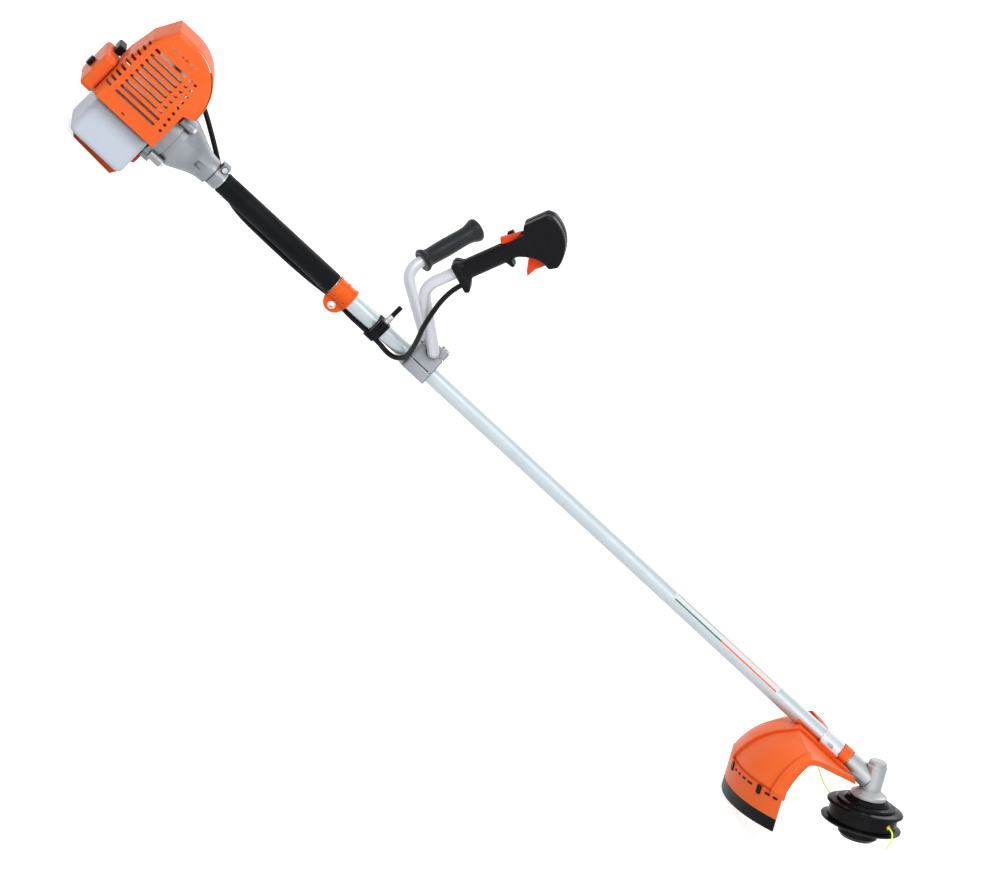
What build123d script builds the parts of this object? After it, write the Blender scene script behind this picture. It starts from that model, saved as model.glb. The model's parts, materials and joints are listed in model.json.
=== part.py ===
from build123d import *
from math import atan, cos, degrees, pi, radians, sin, tan
import os

# Petrol string trimmer with a straight shaft, bicycle handlebar and two-line bump head.
# Shaft coordinates: x along the shaft from engine to head, y to the left, z up, zero on the shaft
# axis above the harness eye. The row frame has its origin in the harness eye and the machine lies
# on a floor, on its tank foot and its guard skirt, so the shaft rises a little towards the head.

# Clearances
FIT = 0.05
RUN = 0.08
GAP = 0.4
BODY_GAP = 1.0

# Shaft
TUBE_R = 14.0
TUBE_WALL = 1.5
TUBE_REAR = -320.0
TUBE_FRONT = 1107.0
DRIVE_R = 4.0
BUSHING_LENGTH = 30.0
BUSHING_COUNT = 5
SLEEVE_REAR = -258.0
SLEEVE_FRONT = -20.0
SLEEVE_WALL = 3.7

# Harness clamp
EYE_DROP = 25.0
EYE_R = 4.0
EYELET_WALL = 1.2
EYELET_RIM = 1.2
HANGER_HALF_LENGTH = 18.0
HANGER_WALL = 3.4
HANGER_EAR_R = 18.0
HANGER_EAR_DROP = 18.0
HANGER_EAR_THICKNESS = 8.0
HANGER_RIB = 1.2

# Handlebar and its clamp
BAR_X = 164.0
BAR_R = 9.5
BAR_WALL = 1.6
BAR_ROLL = 11.7
BAR_RISE = 28.0
BAR_ELBOW_Y = 36.0
BAR_BEND_X = 68.0
BAR_BEND_Y = 112.0
BAR_BEND_Z = 92.7
BAR_BEND_R = 34.0
GRIP_FORWARD = 0.374
GRIP_SPLAY = 0.365
CLAMP_LENGTH = 46.0
CLAMP_WIDTH = 50.0
CLAMP_BOTTOM = 20.0
CLAMP_TOP = 42.0
CLAMP_SCREW_X = 17.0
CLAMP_SCREW_Y = 19.5
CLAMP_CORNER = 5.0

# Left grip
LEFT_GRIP_START = 30.0
LEFT_GRIP_LENGTH = 110.0
LEFT_GRIP_R = 14.0
LEFT_GRIP_FLANGE_R = 19.0
LEFT_GRIP_FLANGE = 9.0
GRIP_END_WALL = 6.0

# Throttle handle, in millimetres forward of and along the right grip's axis
HANDLE_START = 58.0
HANDLE_TUBE_IN = 84.0
HANDLE_HALF = 15.0
BULB_HALF = 17.5
HANDLE_BACK = 13.2
HANDLE_FRONT = 18.3
FLANGE_BACK = 15.0
FLANGE_FRONT = 32.0
FLANGE_TOP = 8.0
NECK_START = 20.0
BULB_BACK = 28.0
BULB_START = 128.0
BULB_END = 184.0
BULB_FRONT = 57.0
SHELL_WALL = 3.0
TRIGGER_PIVOT = (31.0, 143.0)
TRIGGER_HALF = 6.0
LOCKOUT_PIVOT = (-11.0, 119.0)
LOCKOUT_HALF = 5.0
PIVOT_R = 2.0
SWITCH_SIDE = 10.5
SWITCH_WIDTH = 7.0
SWITCH_LENGTH = 11.0
SWITCH_TRAVEL = 5.0
SWITCH_STATION = 108.0

# Throttle conduit, its strap and its cable adjuster
CONDUIT_R = 4.2
CABLE_STOP_X = -400.0
CABLE_STOP_Y = 54.0
CABLE_STOP_Z = 70.0
STRAP_START = 68.0
STRAP_WIDTH = 18.0
STRAP_WALL = 2.4
ADJUSTER_Y = -27.0
ADJUSTER_WIDTH = 16.0
ADJUSTER_BOTTOM = -9.0
ADJUSTER_TOP = 18.0
FERRULE_R = 5.2
FERRULE_TOP = 33.0
BOOT_R = 4.0
BOOT_TOP = 52.0

# Clutch housing and drive
BELL_FACE = -365.0
BELL_R = 46.0
BELL_NECK = -281.0
BELL_NECK_R = 22.0
BELL_WAIST = 31.0
BELL_WAIST_R = 38.0
BELL_TAPER = 46.0
BELL_TAPER_R = 31.0
COLLAR_START = -278.0
COLLAR_END = -261.0
COLLAR_R = 18.0
LUG_R = 7.4
LUG_DEPTH = 12.0
LUG_OFFSET = 36.8
DRUM_R = 38.0
DRUM_WALL = 2.5
DRUM_DEPTH = 18.0
DRUM_HUB_R = 6.0
SHOE_GAP = 1.0
SHOE_LENGTH = 12.0
BEARING_R = 14.0
BEARING_WIDTH = 8.0

# Engine
FAN_CASE_REAR = -386.0
FAN_CASE_R = 49.0
FAN_CASE_WALL = 3.0
CASE_R = 34.0
CASE_REAR = -470.0
CASE_WALL = 5.0
CYLINDER_X = -432.0
CYLINDER_BASE = 36.0
CYLINDER_TOP = 100.0
BORE_R = 20.0
LINER_WALL = 4.0
FIN_COUNT = 8
FIN_THICKNESS = 2.2
FIN_HALF = 36.0
STROKE = 30.0
ROD_LENGTH = 54.0
WEB_R = 26.0
WEB_THICKNESS = 8.0
PIN_R = 6.0
CRANK_R = 7.0
FLYWHEEL_R = 44.0
MUFFLER_WALL = 2.0
MUFFLER_SIZE = (84.0, 34.0, 78.0)
MUFFLER_CENTER = (-446.0, -55.0, 56.0)
COVER_RIGHT = -78.0
COVER_LEFT = -4.0
COVER_REAR = -511.0
COVER_FRONT = -386.0
COVER_BOTTOM = -19.0
COVER_TOP = 146.0
COVER_WALL = 2.6
SLOT_ROWS = 9
SLOT_PITCH = 11.25
SLOT_FIRST = 9.5
SLOT_HEIGHT = 4.6
SLOT_REAR = -491.0
SLOT_FRONT = -409.0
LONG_SLOTS = 2
SHORT_SLOT_FRONT = -425.0
INNER_HOLE_COLUMN = -416.5
INNER_HOLE_LENGTH = 6.5
HOLE_COLUMN = -396.0
HOLE_LEAN = 1.3
HOLE_LENGTH = 5.4
SLIT_COUNT = 6
SLIT_REAR = -471.0
SLIT_PITCH = 9.6
SLIT_Z = 119.5
SLIT_LENGTH = 6.0
SLIT_HEIGHT = 1.8
LOW_SLIT_X = -456.5
LOW_SLIT_Z = -11.0
COVER_ROOM = 4.0
COVER_WINDOW_TOP = 130.0

# Recoil starter
STARTER_REAR = -535.0
STARTER_HALF = 46.0
STARTER_BOTTOM = -30.0
STARTER_TOP = 35.0
STARTER_WALL = 2.6
PULLEY_R = 24.0
PULLEY_WIDTH = 12.0
PULLEY_HUB_R = 6.0
BUMPER_LENGTH = 8.0
PULL_X = -516.0
PULL_GRIP_R = 7.5
PULL_GRIP_LENGTH = 40.0
PULL_Y = 18.0
PULL_STEM_R = 3.0

# Fuel tank
TANK_REAR = -498.0
TANK_FRONT = -390.0
TANK_HALF = 58.0
TANK_TOP = -24.0
TANK_BOTTOM = -92.0
TANK_WALL = 2.0
TANK_CORNER = 13.0
FOOT_REAR = -488.0
FOOT_FRONT = -392.0
FOOT_HALF = 36.0
FOOT_BOTTOM = -102.0
FOOT_WALL = 4.0
CAP_Y = 32.0
CAP_Z = -66.0
CAP_R = 16.0
CAP_LENGTH = 14.0
CAP_NECK_R = 11.0

# Carburettor side
CARB_Y = 58.0
CARB_Z = 62.0
CARB_SIZE = (34.0, 30.0, 34.0)
INTAKE_R = 12.0
FILTER_LEFT = 104.0
FILTER_REAR = -476.0
FILTER_FRONT = -396.0
FILTER_BOTTOM = 26.0
FILTER_TOP = 92.0
FILTER_WALL = 2.5

# Gear head and trimmer head, along the head axis from where it crosses the shaft
HEAD_X = 1143.0
HEAD_LEAN = 28.0
PINION_TEETH = 14
CROWN_TEETH = 19
CONE_DISTANCE = 20.0
PRESSURE_ANGLE = 20.0
TOOTH_FACE = 6.0
BACKLASH = 0.5
PINION_HUB = 8.0
CROWN_HUB = 4.0
NECK_REAR = 1089.0
NECK_R = 16.8
CASE_BODY_R = 16.5
CASE_FLANGE_R = 29.0
CASE_TOP = 30.0
CASE_BOTTOM = -24.0
CAP_HEIGHT = 7.0
SPINDLE_R = 4.5
CUP_R = 38.0
CUP_BOTTOM = -31.0
TIER_R = 49.0
TIER_BOTTOM = -36.0
HEAD_TOP = -38.0
HEAD_FLANGE_R = 62.0
HEAD_BODY_R = 55.5
HEAD_SPLIT = -64.0
HEAD_BOTTOM = -70.0
HEAD_RIM_R = 65.0
HEAD_WALL = 2.6
KNOB_R = 32.0
KNOB_BOTTOM = -93.0
SPOOL_R = 44.0
LINE_R = 1.2
LINE_LEVEL = -53.0
LINE_ANGLE = -44.0
EYELET_R = 4.0

# Guard, about the head axis
GUARD_R = 225.5
GUARD_ANGLE = 51.0
GUARD_WALL = 3.0
GUARD_ROOF = -6.0
GUARD_STEP = 4.5
GUARD_SPINE_HALF = 30.0
GUARD_FLANGE_ANGLE = 6.0
GUARD_BEAD = 6.0
GUARD_ROUND = 62.0
GUARD_RIM = -19.0
EXTENSION_BOTTOM = -50.0
SKIRT_BOTTOM = -70.0
SKIRT_WALL = 3.0
SADDLE_REAR = 986.0
SADDLE_FRONT = 1087.0
GUARD_FRONT_R = 48.0
GUARD_SHOULDER = (72.0, 66.0)
GUARD_HAUNCH = (22.5, 36.0)
GUARD_WALL_TOP = -9.0
SADDLE_WALL = 3.2
BRACKET_REAR = 1032.0
BRACKET_FRONT = 1069.0
BRACKET_WALL = 2.0
CLIP_COUNT = 4

# Screws
SCREW_R = 2.5
SCREW_HEAD_R = 4.4
SCREW_HEAD = 4.5

# The floor touches the tank foot and the lowest point of the guard skirt
lean = radians(HEAD_LEAN)
skirt_low_x = HEAD_X - GUARD_R * cos(lean) - SKIRT_BOTTOM * sin(lean)
skirt_low_z = -GUARD_R * sin(lean) + SKIRT_BOTTOM * cos(lean)
foot_x = (FOOT_REAR + FOOT_FRONT) / 2
REST_PITCH = degrees(atan((FOOT_BOTTOM - skirt_low_z) / (skirt_low_x - foot_x)))
REST = Location((0, 0, 0), (0, -REST_PITCH, 0)) * Location((0, 0, EYE_DROP))


def row(plane):
    return Plane(REST * plane.location)


def across(x, y=0.0, z=0.0):
    """Square to the shaft: sketch x to the left, sketch y up, normal towards the head."""
    return row(Plane((x, y, z), x_dir=(0, 1, 0), z_dir=(1, 0, 0)))


def side(y, x=0.0, z=0.0):
    """Seen from the right: sketch x along the shaft, sketch y up, normal to the right."""
    return row(Plane((x, y, z), x_dir=(1, 0, 0), z_dir=(0, -1, 0)))


def level(z, x=0.0, y=0.0):
    """Seen from above: sketch x along the shaft, sketch y to the left, normal up."""
    return row(Plane((x, y, z), x_dir=(1, 0, 0), z_dir=(0, 0, 1)))


def point(x, y, z):
    return (REST * Location((x, y, z))).position


def rounded_box(plane, width, height, depth, corner, mode=Mode.ADD):
    """A box with rounded edges along its depth, drawn on the plane and extruded along its normal."""
    with BuildSketch(plane) as face:
        RectangleRounded(width, height, corner)
    extrude(face.sketch, amount=depth, mode=mode)


def disc(plane, radius, depth, bore=0.0, mode=Mode.ADD):
    """A round disc or ring, drawn on the plane and extruded along its normal."""
    with BuildSketch(plane) as face:
        Circle(radius)
        if bore:
            Circle(bore, mode=Mode.SUBTRACT)
    extrude(face.sketch, amount=depth, mode=mode)


def screw(plane, length):
    """A socket screw whose head stands on the plane and whose shank goes down through it."""
    disc(plane, SCREW_HEAD_R, SCREW_HEAD)
    disc(plane, SCREW_R, -length)
    disc(plane.offset(SCREW_HEAD), SCREW_R, -SCREW_HEAD / 2, mode=Mode.SUBTRACT)


def turned(plane, axis, points):
    """A solid of revolution from a closed outline."""
    with BuildSketch(plane) as face:
        with BuildLine():
            Polyline(*points, close=True)
        make_face()
    revolve(face.sketch, axis=axis)


SHAFT_AXIS = Axis(point(0, 0, 0), point(1, 0, 0) - point(0, 0, 0))
SHAFT_SECTION = side(0)

# The head frame: local x to the rear, local y to the right, local z up the head axis
head_back = (-cos(lean), 0, -sin(lean))
head_up = (-sin(lean), 0, cos(lean))
HEAD = row(Plane((HEAD_X, 0, 0), x_dir=head_back, z_dir=head_up))
HEAD_SECTION = row(Plane((HEAD_X, 0, 0), x_dir=head_back, z_dir=(0, 1, 0)))
HEAD_AXIS = Axis(HEAD.origin, HEAD.z_dir)

# The handlebar frame: turned about the shaft, local y to the left
roll = radians(BAR_ROLL)
BAR = row(Plane((BAR_X, 0, 0), x_dir=(1, 0, 0), z_dir=(0, sin(roll), cos(roll))))


def bar_point(x, y, z):
    return BAR.from_local_coords(Vector(x - BAR_X, y, z))


def grip_plane(hand):
    """Sketch x forward, sketch y up the grip, from the bend of the bar on that hand."""
    bend = bar_point(BAR_BEND_X, hand * BAR_BEND_Y, BAR_BEND_Z)
    tip = bar_point(BAR_BEND_X + GRIP_FORWARD, hand * (BAR_BEND_Y + GRIP_SPLAY), BAR_BEND_Z + 1)
    along = (tip - bend).normalized()
    forward = (BAR.x_dir - along * BAR.x_dir.dot(along)).normalized()
    return Plane(bend, x_dir=forward, z_dir=forward.cross(along))


def grip_level(plane, along, forward=0.0, sideways=0.0):
    """A plane square to the grip: sketch x forward, normal up the grip."""
    origin = plane.from_local_coords(Vector(forward, along, sideways))
    return Plane(origin, x_dir=plane.x_dir, z_dir=plane.y_dir)


LEFT_GRIP = grip_plane(1)
RIGHT_GRIP = grip_plane(-1)

os.makedirs("parts", exist_ok=True)

# Shaft tube with its drive shaft and bushings

with BuildPart() as shaft_tube:
    disc(across(TUBE_REAR), TUBE_R, TUBE_FRONT - TUBE_REAR, bore=TUBE_R - TUBE_WALL)
shaft_tube.part.label = "shaft_tube"
export_step(shaft_tube.part, "parts/shaft_tube.step")

pinion_angle = atan(cos(lean) / (CROWN_TEETH / PINION_TEETH + sin(lean)))
crown_angle = pi / 2 - lean - pinion_angle
pinion_back = HEAD_X - CONE_DISTANCE * cos(pinion_angle)
bell_lugs = [(y, z) for y in (-LUG_OFFSET, LUG_OFFSET) for z in (-LUG_OFFSET, LUG_OFFSET)]
collar_x = (COLLAR_START + COLLAR_END) / 2
drum_floor = BELL_FACE + GAP + DRUM_DEPTH
drum_bearing = drum_floor + DRUM_WALL + BODY_GAP
drive_rear = drum_bearing
drive_front = pinion_back - BODY_GAP

with BuildPart() as drive_shaft:
    disc(across(drive_rear), DRIVE_R, drive_front - drive_rear)
drive_shaft.part.label = "drive_shaft"
export_step(drive_shaft.part, "parts/drive_shaft.step")

bushing_pitch = (TUBE_FRONT - TUBE_REAR) / BUSHING_COUNT
with BuildPart() as shaft_bushings:
    for index in range(BUSHING_COUNT):
        station = TUBE_REAR + bushing_pitch * (index + 0.5)
        disc(across(station), TUBE_R - TUBE_WALL - FIT, BUSHING_LENGTH, bore=DRIVE_R + RUN)
shaft_bushings.part.label = "shaft_bushings"
export_step(shaft_bushings.part, "parts/shaft_bushings.step")

with BuildPart() as hip_sleeve:
    disc(across(SLEEVE_REAR), TUBE_R + SLEEVE_WALL, SLEEVE_FRONT - SLEEVE_REAR, bore=TUBE_R + FIT)
    fillet(hip_sleeve.edges().filter_by(GeomType.CIRCLE).sort_by(SortBy.RADIUS)[-2:], SLEEVE_WALL / 3)
hip_sleeve.part.label = "hip_sleeve"
export_step(hip_sleeve.part, "parts/hip_sleeve.step")

# Harness clamp: a split band with an ear that carries the eyelet

hanger_r = TUBE_R + HANGER_WALL
with BuildPart() as harness_clamp:
    disc(across(-HANGER_HALF_LENGTH), hanger_r, 2 * HANGER_HALF_LENGTH)
    for end in (-HANGER_HALF_LENGTH, -HANGER_RIB * 1.5, HANGER_HALF_LENGTH - 3 * HANGER_RIB):
        disc(across(end), hanger_r + HANGER_RIB, 3 * HANGER_RIB)
    disc(side(HANGER_EAR_THICKNESS / 2, 0, -HANGER_EAR_DROP), HANGER_EAR_R, HANGER_EAR_THICKNESS)
    disc(across(-2 * HANGER_HALF_LENGTH), TUBE_R + FIT, 4 * HANGER_HALF_LENGTH, mode=Mode.SUBTRACT)
    eyelet_outer = EYE_R + EYELET_WALL
    disc(side(HANGER_EAR_R, 0, -EYE_DROP), eyelet_outer + FIT, 2 * HANGER_EAR_R, mode=Mode.SUBTRACT)
    for end in (-1, 1):
        notch = across(end * HANGER_EAR_R / 2 - HANGER_RIB, 0, -hanger_r / 2)
        rounded_box(notch, 3 * hanger_r, HANGER_RIB * 1.5, 2 * HANGER_RIB, HANGER_RIB / 2, Mode.SUBTRACT)
harness_clamp.part.label = "harness_clamp"
export_step(harness_clamp.part, "parts/harness_clamp.step")

with BuildPart() as harness_eyelet:
    half = HANGER_EAR_THICKNESS / 2
    disc(side(half, 0, -EYE_DROP), eyelet_outer, HANGER_EAR_THICKNESS)
    disc(side(half + EYELET_WALL, 0, -EYE_DROP), eyelet_outer + EYELET_RIM, EYELET_WALL)
    disc(side(-half, 0, -EYE_DROP), eyelet_outer + EYELET_RIM, EYELET_WALL)
    disc(side(HANGER_EAR_R, 0, -EYE_DROP), EYE_R, 2 * HANGER_EAR_R, mode=Mode.SUBTRACT)
harness_eyelet.part.label = "harness_eyelet"
export_step(harness_eyelet.part, "parts/harness_eyelet.step")

# Handlebar clamp: three cast blocks round the shaft and the bar


def clamp_block(bottom, top):
    """A block of the handlebar clamp between two heights, bored for shaft, bar and screws."""
    rounded_box(BAR.offset(bottom), CLAMP_LENGTH, CLAMP_WIDTH, top - bottom, CLAMP_CORNER)
    shaft_bore = Plane(bar_point(BAR_X - CLAMP_LENGTH, 0, 0), x_dir=BAR.y_dir, z_dir=BAR.x_dir)
    disc(shaft_bore, TUBE_R + FIT, 2 * CLAMP_LENGTH, mode=Mode.SUBTRACT)
    bar_bore = Plane(bar_point(BAR_X, -CLAMP_WIDTH, BAR_RISE), x_dir=BAR.x_dir, z_dir=BAR.y_dir)
    disc(bar_bore, BAR_R + FIT, 2 * CLAMP_WIDTH, mode=Mode.SUBTRACT)
    for x in (-CLAMP_SCREW_X, CLAMP_SCREW_X):
        for y in (-CLAMP_SCREW_Y, CLAMP_SCREW_Y):
            hole = Plane(BAR.from_local_coords(Vector(x, y, -CLAMP_TOP)), x_dir=BAR.x_dir, z_dir=BAR.z_dir)
            disc(hole, SCREW_R + FIT, 3 * CLAMP_TOP, mode=Mode.SUBTRACT)


with BuildPart() as clamp_lower:
    clamp_block(-CLAMP_BOTTOM, -BODY_GAP / 2)
clamp_lower.part.label = "clamp_lower"
export_step(clamp_lower.part, "parts/clamp_lower.step")

with BuildPart() as clamp_body:
    clamp_block(BODY_GAP / 2, BAR_RISE - BODY_GAP / 2)
clamp_body.part.label = "clamp_body"
export_step(clamp_body.part, "parts/clamp_body.step")

with BuildPart() as clamp_cap:
    clamp_block(BAR_RISE + BODY_GAP / 2, CLAMP_TOP)
clamp_cap.part.label = "clamp_cap"
export_step(clamp_cap.part, "parts/clamp_cap.step")

# Handlebar: one bent tube from the left grip through the clamp into the throttle handle

left_end = LEFT_GRIP.from_local_coords(Vector(0, LEFT_GRIP_START + LEFT_GRIP_LENGTH - GRIP_END_WALL, 0))
right_end = RIGHT_GRIP.from_local_coords(Vector(0, HANDLE_START + HANDLE_TUBE_IN, 0))
bar_corners = [
    left_end,
    bar_point(BAR_BEND_X, BAR_BEND_Y, BAR_BEND_Z),
    bar_point(BAR_X, BAR_ELBOW_Y, BAR_RISE),
    bar_point(BAR_X, -BAR_ELBOW_Y, BAR_RISE),
    bar_point(BAR_BEND_X, -BAR_BEND_Y, BAR_BEND_Z),
    right_end,
]
elbow_r = BAR_R * 1.3
with BuildPart() as handlebar:
    with BuildLine() as bar_line:
        FilletPolyline(*bar_corners, radius=[BAR_BEND_R, elbow_r, elbow_r, BAR_BEND_R])
    with BuildSketch(Plane(bar_line.line @ 0, z_dir=bar_line.line % 0)):
        Circle(BAR_R)
        Circle(BAR_R - BAR_WALL, mode=Mode.SUBTRACT)
    sweep(path=bar_line.line)
handlebar.part.label = "handlebar"
export_step(handlebar.part, "parts/handlebar.step")

# Left grip: a rubber sleeve with a flange at each end

grip_top = LEFT_GRIP_START + LEFT_GRIP_LENGTH
flange_round = LEFT_GRIP_FLANGE / 2
with BuildPart() as left_grip:
    with BuildSketch(LEFT_GRIP):
        with BuildLine():
            Polyline(
                (BAR_R + FIT, LEFT_GRIP_START),
                (LEFT_GRIP_FLANGE_R, LEFT_GRIP_START),
                (LEFT_GRIP_FLANGE_R, LEFT_GRIP_START + flange_round),
                (LEFT_GRIP_R, LEFT_GRIP_START + 2 * LEFT_GRIP_FLANGE),
                (LEFT_GRIP_R, grip_top - 3 * LEFT_GRIP_FLANGE),
                (LEFT_GRIP_FLANGE_R, grip_top - LEFT_GRIP_FLANGE),
                (LEFT_GRIP_FLANGE_R, grip_top - flange_round),
            )
            Polyline(
                (LEFT_GRIP_FLANGE_R, grip_top - flange_round),
                (LEFT_GRIP_R, grip_top),
                (0, grip_top),
                (0, grip_top - GRIP_END_WALL + FIT),
                (BAR_R + FIT, grip_top - GRIP_END_WALL + FIT),
                (BAR_R + FIT, LEFT_GRIP_START),
            )
        make_face()
    revolve(axis=Axis(LEFT_GRIP.origin, LEFT_GRIP.y_dir))
left_grip.part.label = "left_grip"
export_step(left_grip.part, "parts/left_grip.step")

# Throttle handle: two moulded half shells round the bar's right end


def along_handle(station):
    return HANDLE_START + station


def handle_outline():
    """The handle's side outline: flange, grip and the fan-shaped head, in an open line sketch."""
    Polyline(
        (-FLANGE_BACK, along_handle(0)),
        (FLANGE_FRONT, along_handle(0)),
        (FLANGE_FRONT, along_handle(FLANGE_TOP)),
        (HANDLE_FRONT, along_handle(NECK_START)),
        (HANDLE_FRONT, along_handle(BULB_START - 2 * HANDLE_FRONT)),
    )
    ThreePointArc(
        (HANDLE_FRONT, along_handle(BULB_START - 2 * HANDLE_FRONT)),
        (HANDLE_FRONT + 10, along_handle(BULB_START - 2)),
        (BULB_FRONT - 4, along_handle(BULB_START + 9)),
    )
    Line((BULB_FRONT - 4, along_handle(BULB_START + 9)), (BULB_FRONT, along_handle(BULB_START + 24)))
    ThreePointArc(
        (BULB_FRONT, along_handle(BULB_START + 24)),
        (BULB_FRONT / 2, along_handle(BULB_END - 4)),
        (-BULB_BACK + 9, along_handle(BULB_END)),
    )
    Polyline(
        (-BULB_BACK + 9, along_handle(BULB_END)),
        (-BULB_BACK, along_handle(BULB_END - 9)),
        (-BULB_BACK, along_handle(BULB_START + 7)),
        (-FLANGE_BACK, along_handle(BULB_START)),
        (-HANDLE_BACK, along_handle(BULB_START - 8)),
        (-HANDLE_BACK, along_handle(NECK_START)),
        (-FLANGE_BACK, along_handle(FLANGE_TOP)),
        (-FLANGE_BACK, along_handle(0)),
    )


HOOK_OUTLINE = [(HANDLE_FRONT - 2, 80.0), (30.0, 87.0), (28.0, 92.0), (HANDLE_FRONT - 2, 90.0)]
trigger_outline = [
    (TRIGGER_PIVOT[0] - 6, TRIGGER_PIVOT[1] + 5),
    (TRIGGER_PIVOT[0] + 17, TRIGGER_PIVOT[1] - 2),
    (TRIGGER_PIVOT[0] + 15, TRIGGER_PIVOT[1] - 26),
    (TRIGGER_PIVOT[0] + 20, TRIGGER_PIVOT[1] - 43),
    (TRIGGER_PIVOT[0] + 12, TRIGGER_PIVOT[1] - 40),
    (TRIGGER_PIVOT[0] - 8, TRIGGER_PIVOT[1] - 26),
]
lockout_outline = [
    (LOCKOUT_PIVOT[0] + 3, LOCKOUT_PIVOT[1] + 4),
    (LOCKOUT_PIVOT[0] - 6, LOCKOUT_PIVOT[1] + 3),
    (LOCKOUT_PIVOT[0] - 11, LOCKOUT_PIVOT[1] - 29),
    (LOCKOUT_PIVOT[0] - 2, LOCKOUT_PIVOT[1] - 32),
    (LOCKOUT_PIVOT[0] + 3, LOCKOUT_PIVOT[1] - 8),
]


def on_handle(outline):
    return [(forward, along_handle(station)) for forward, station in outline]


def handle_shell(hand):
    """One half of the handle: hand is 1 for the right half and -1 for the left half."""
    seam = RIGHT_GRIP.offset(hand * FIT)
    with BuildSketch(seam) as outline:
        with BuildLine():
            handle_outline()
        make_face()
    extrude(outline.sketch, amount=hand * HANDLE_HALF)
    with BuildSketch(seam) as hook:
        Polygon(*on_handle(HOOK_OUTLINE), align=None)
    extrude(hook.sketch, amount=hand * HANDLE_HALF)
    with BuildSketch(seam) as bulb:
        with BuildLine():
            handle_outline()
        make_face()
        with Locations((0, along_handle(BULB_START - HANDLE_BACK) / 2)):
            Rectangle(4 * BULB_FRONT, along_handle(BULB_START - HANDLE_BACK), mode=Mode.SUBTRACT)
    extrude(bulb.sketch, amount=hand * BULB_HALF, taper=4)
    with BuildSketch(seam) as cavity:
        with BuildLine():
            handle_outline()
        make_face()
        offset(amount=-SHELL_WALL - 1, mode=Mode.REPLACE)
        with Locations((0, along_handle(BULB_START - 44) / 2)):
            Rectangle(4 * BULB_FRONT, along_handle(BULB_START - 44), mode=Mode.SUBTRACT)
    extrude(cavity.sketch, amount=hand * (HANDLE_HALF - SHELL_WALL), mode=Mode.SUBTRACT)
    disc(grip_level(RIGHT_GRIP, along_handle(-1)), BAR_R + FIT, HANDLE_TUBE_IN + 3, mode=Mode.SUBTRACT)
    with BuildSketch(RIGHT_GRIP) as slot:
        with Locations((TRIGGER_PIVOT[0] + 9, along_handle(TRIGGER_PIVOT[1] - 21))):
            Rectangle(50, 58)
        with Locations((LOCKOUT_PIVOT[0] - 6, along_handle(LOCKOUT_PIVOT[1] - 13))):
            Rectangle(24, 42)
    extrude(slot.sketch, amount=hand * (TRIGGER_HALF + GAP), mode=Mode.SUBTRACT)
    for pivot in (TRIGGER_PIVOT, LOCKOUT_PIVOT):
        pin = RIGHT_GRIP.from_local_coords(Vector(pivot[0], along_handle(pivot[1]), 0))
        pin_plane = Plane(pin, x_dir=RIGHT_GRIP.x_dir, z_dir=RIGHT_GRIP.z_dir)
        disc(pin_plane.offset(hand * FIT), PIVOT_R, hand * (HANDLE_HALF - SHELL_WALL / 2))
        shoulder = pin_plane.offset(hand * (TRIGGER_HALF + GAP))
        disc(shoulder, PIVOT_R + 2, hand * (HANDLE_HALF - TRIGGER_HALF - GAP - SHELL_WALL / 2))


conduit_exit = (FLANGE_FRONT - 9.0, along_handle(0))
with BuildPart() as throttle_shell_right:
    handle_shell(1)
throttle_shell_right.part.label = "throttle_shell_right"
export_step(throttle_shell_right.part, "parts/throttle_shell_right.step")

switch_back = HANDLE_BACK + 9
switch_slot = SWITCH_LENGTH + SWITCH_TRAVEL + 2 * GAP
switch_foot = RIGHT_GRIP.offset(-SWITCH_SIDE)
with BuildPart() as throttle_shell_left:
    handle_shell(-1)
    with BuildSketch(switch_foot.offset(SWITCH_WIDTH / 2 + GAP)) as switch_window:
        with Locations((-HANDLE_BACK, along_handle(SWITCH_STATION))):
            Rectangle(HANDLE_BACK, switch_slot)
    extrude(switch_window.sketch, amount=-SWITCH_WIDTH - 2 * GAP, mode=Mode.SUBTRACT)
throttle_shell_left.part.label = "throttle_shell_left"
export_step(throttle_shell_left.part, "parts/throttle_shell_left.step")

with BuildPart() as throttle_trigger:
    with BuildSketch(RIGHT_GRIP.offset(-TRIGGER_HALF)):
        Polygon(*on_handle(trigger_outline), align=None)
        with Locations((TRIGGER_PIVOT[0], along_handle(TRIGGER_PIVOT[1]))):
            Circle(PIVOT_R + RUN, mode=Mode.SUBTRACT)
    extrude(amount=2 * TRIGGER_HALF)
throttle_trigger.part.label = "throttle_trigger"
export_step(throttle_trigger.part, "parts/throttle_trigger.step")

with BuildPart() as throttle_lockout:
    with BuildSketch(RIGHT_GRIP.offset(-LOCKOUT_HALF)):
        Polygon(*on_handle(lockout_outline), align=None)
        with Locations((LOCKOUT_PIVOT[0], along_handle(LOCKOUT_PIVOT[1]))):
            Circle(PIVOT_R + RUN, mode=Mode.SUBTRACT)
    extrude(amount=2 * LOCKOUT_HALF)
throttle_lockout.part.label = "throttle_lockout"
export_step(throttle_lockout.part, "parts/throttle_lockout.step")

switch_rest = SWITCH_STATION - SWITCH_TRAVEL / 2
with BuildPart() as stop_switch:
    with BuildSketch(switch_foot.offset(SWITCH_WIDTH / 2)):
        with Locations((-switch_back + HANDLE_BACK / 2, along_handle(switch_rest))):
            RectangleRounded(HANDLE_BACK, SWITCH_LENGTH, PIVOT_R)
    extrude(amount=-SWITCH_WIDTH)
stop_switch.part.label = "stop_switch"
export_step(stop_switch.part, "parts/stop_switch.step")

# Throttle conduit: held along the shaft, then up to the throttle handle

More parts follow.
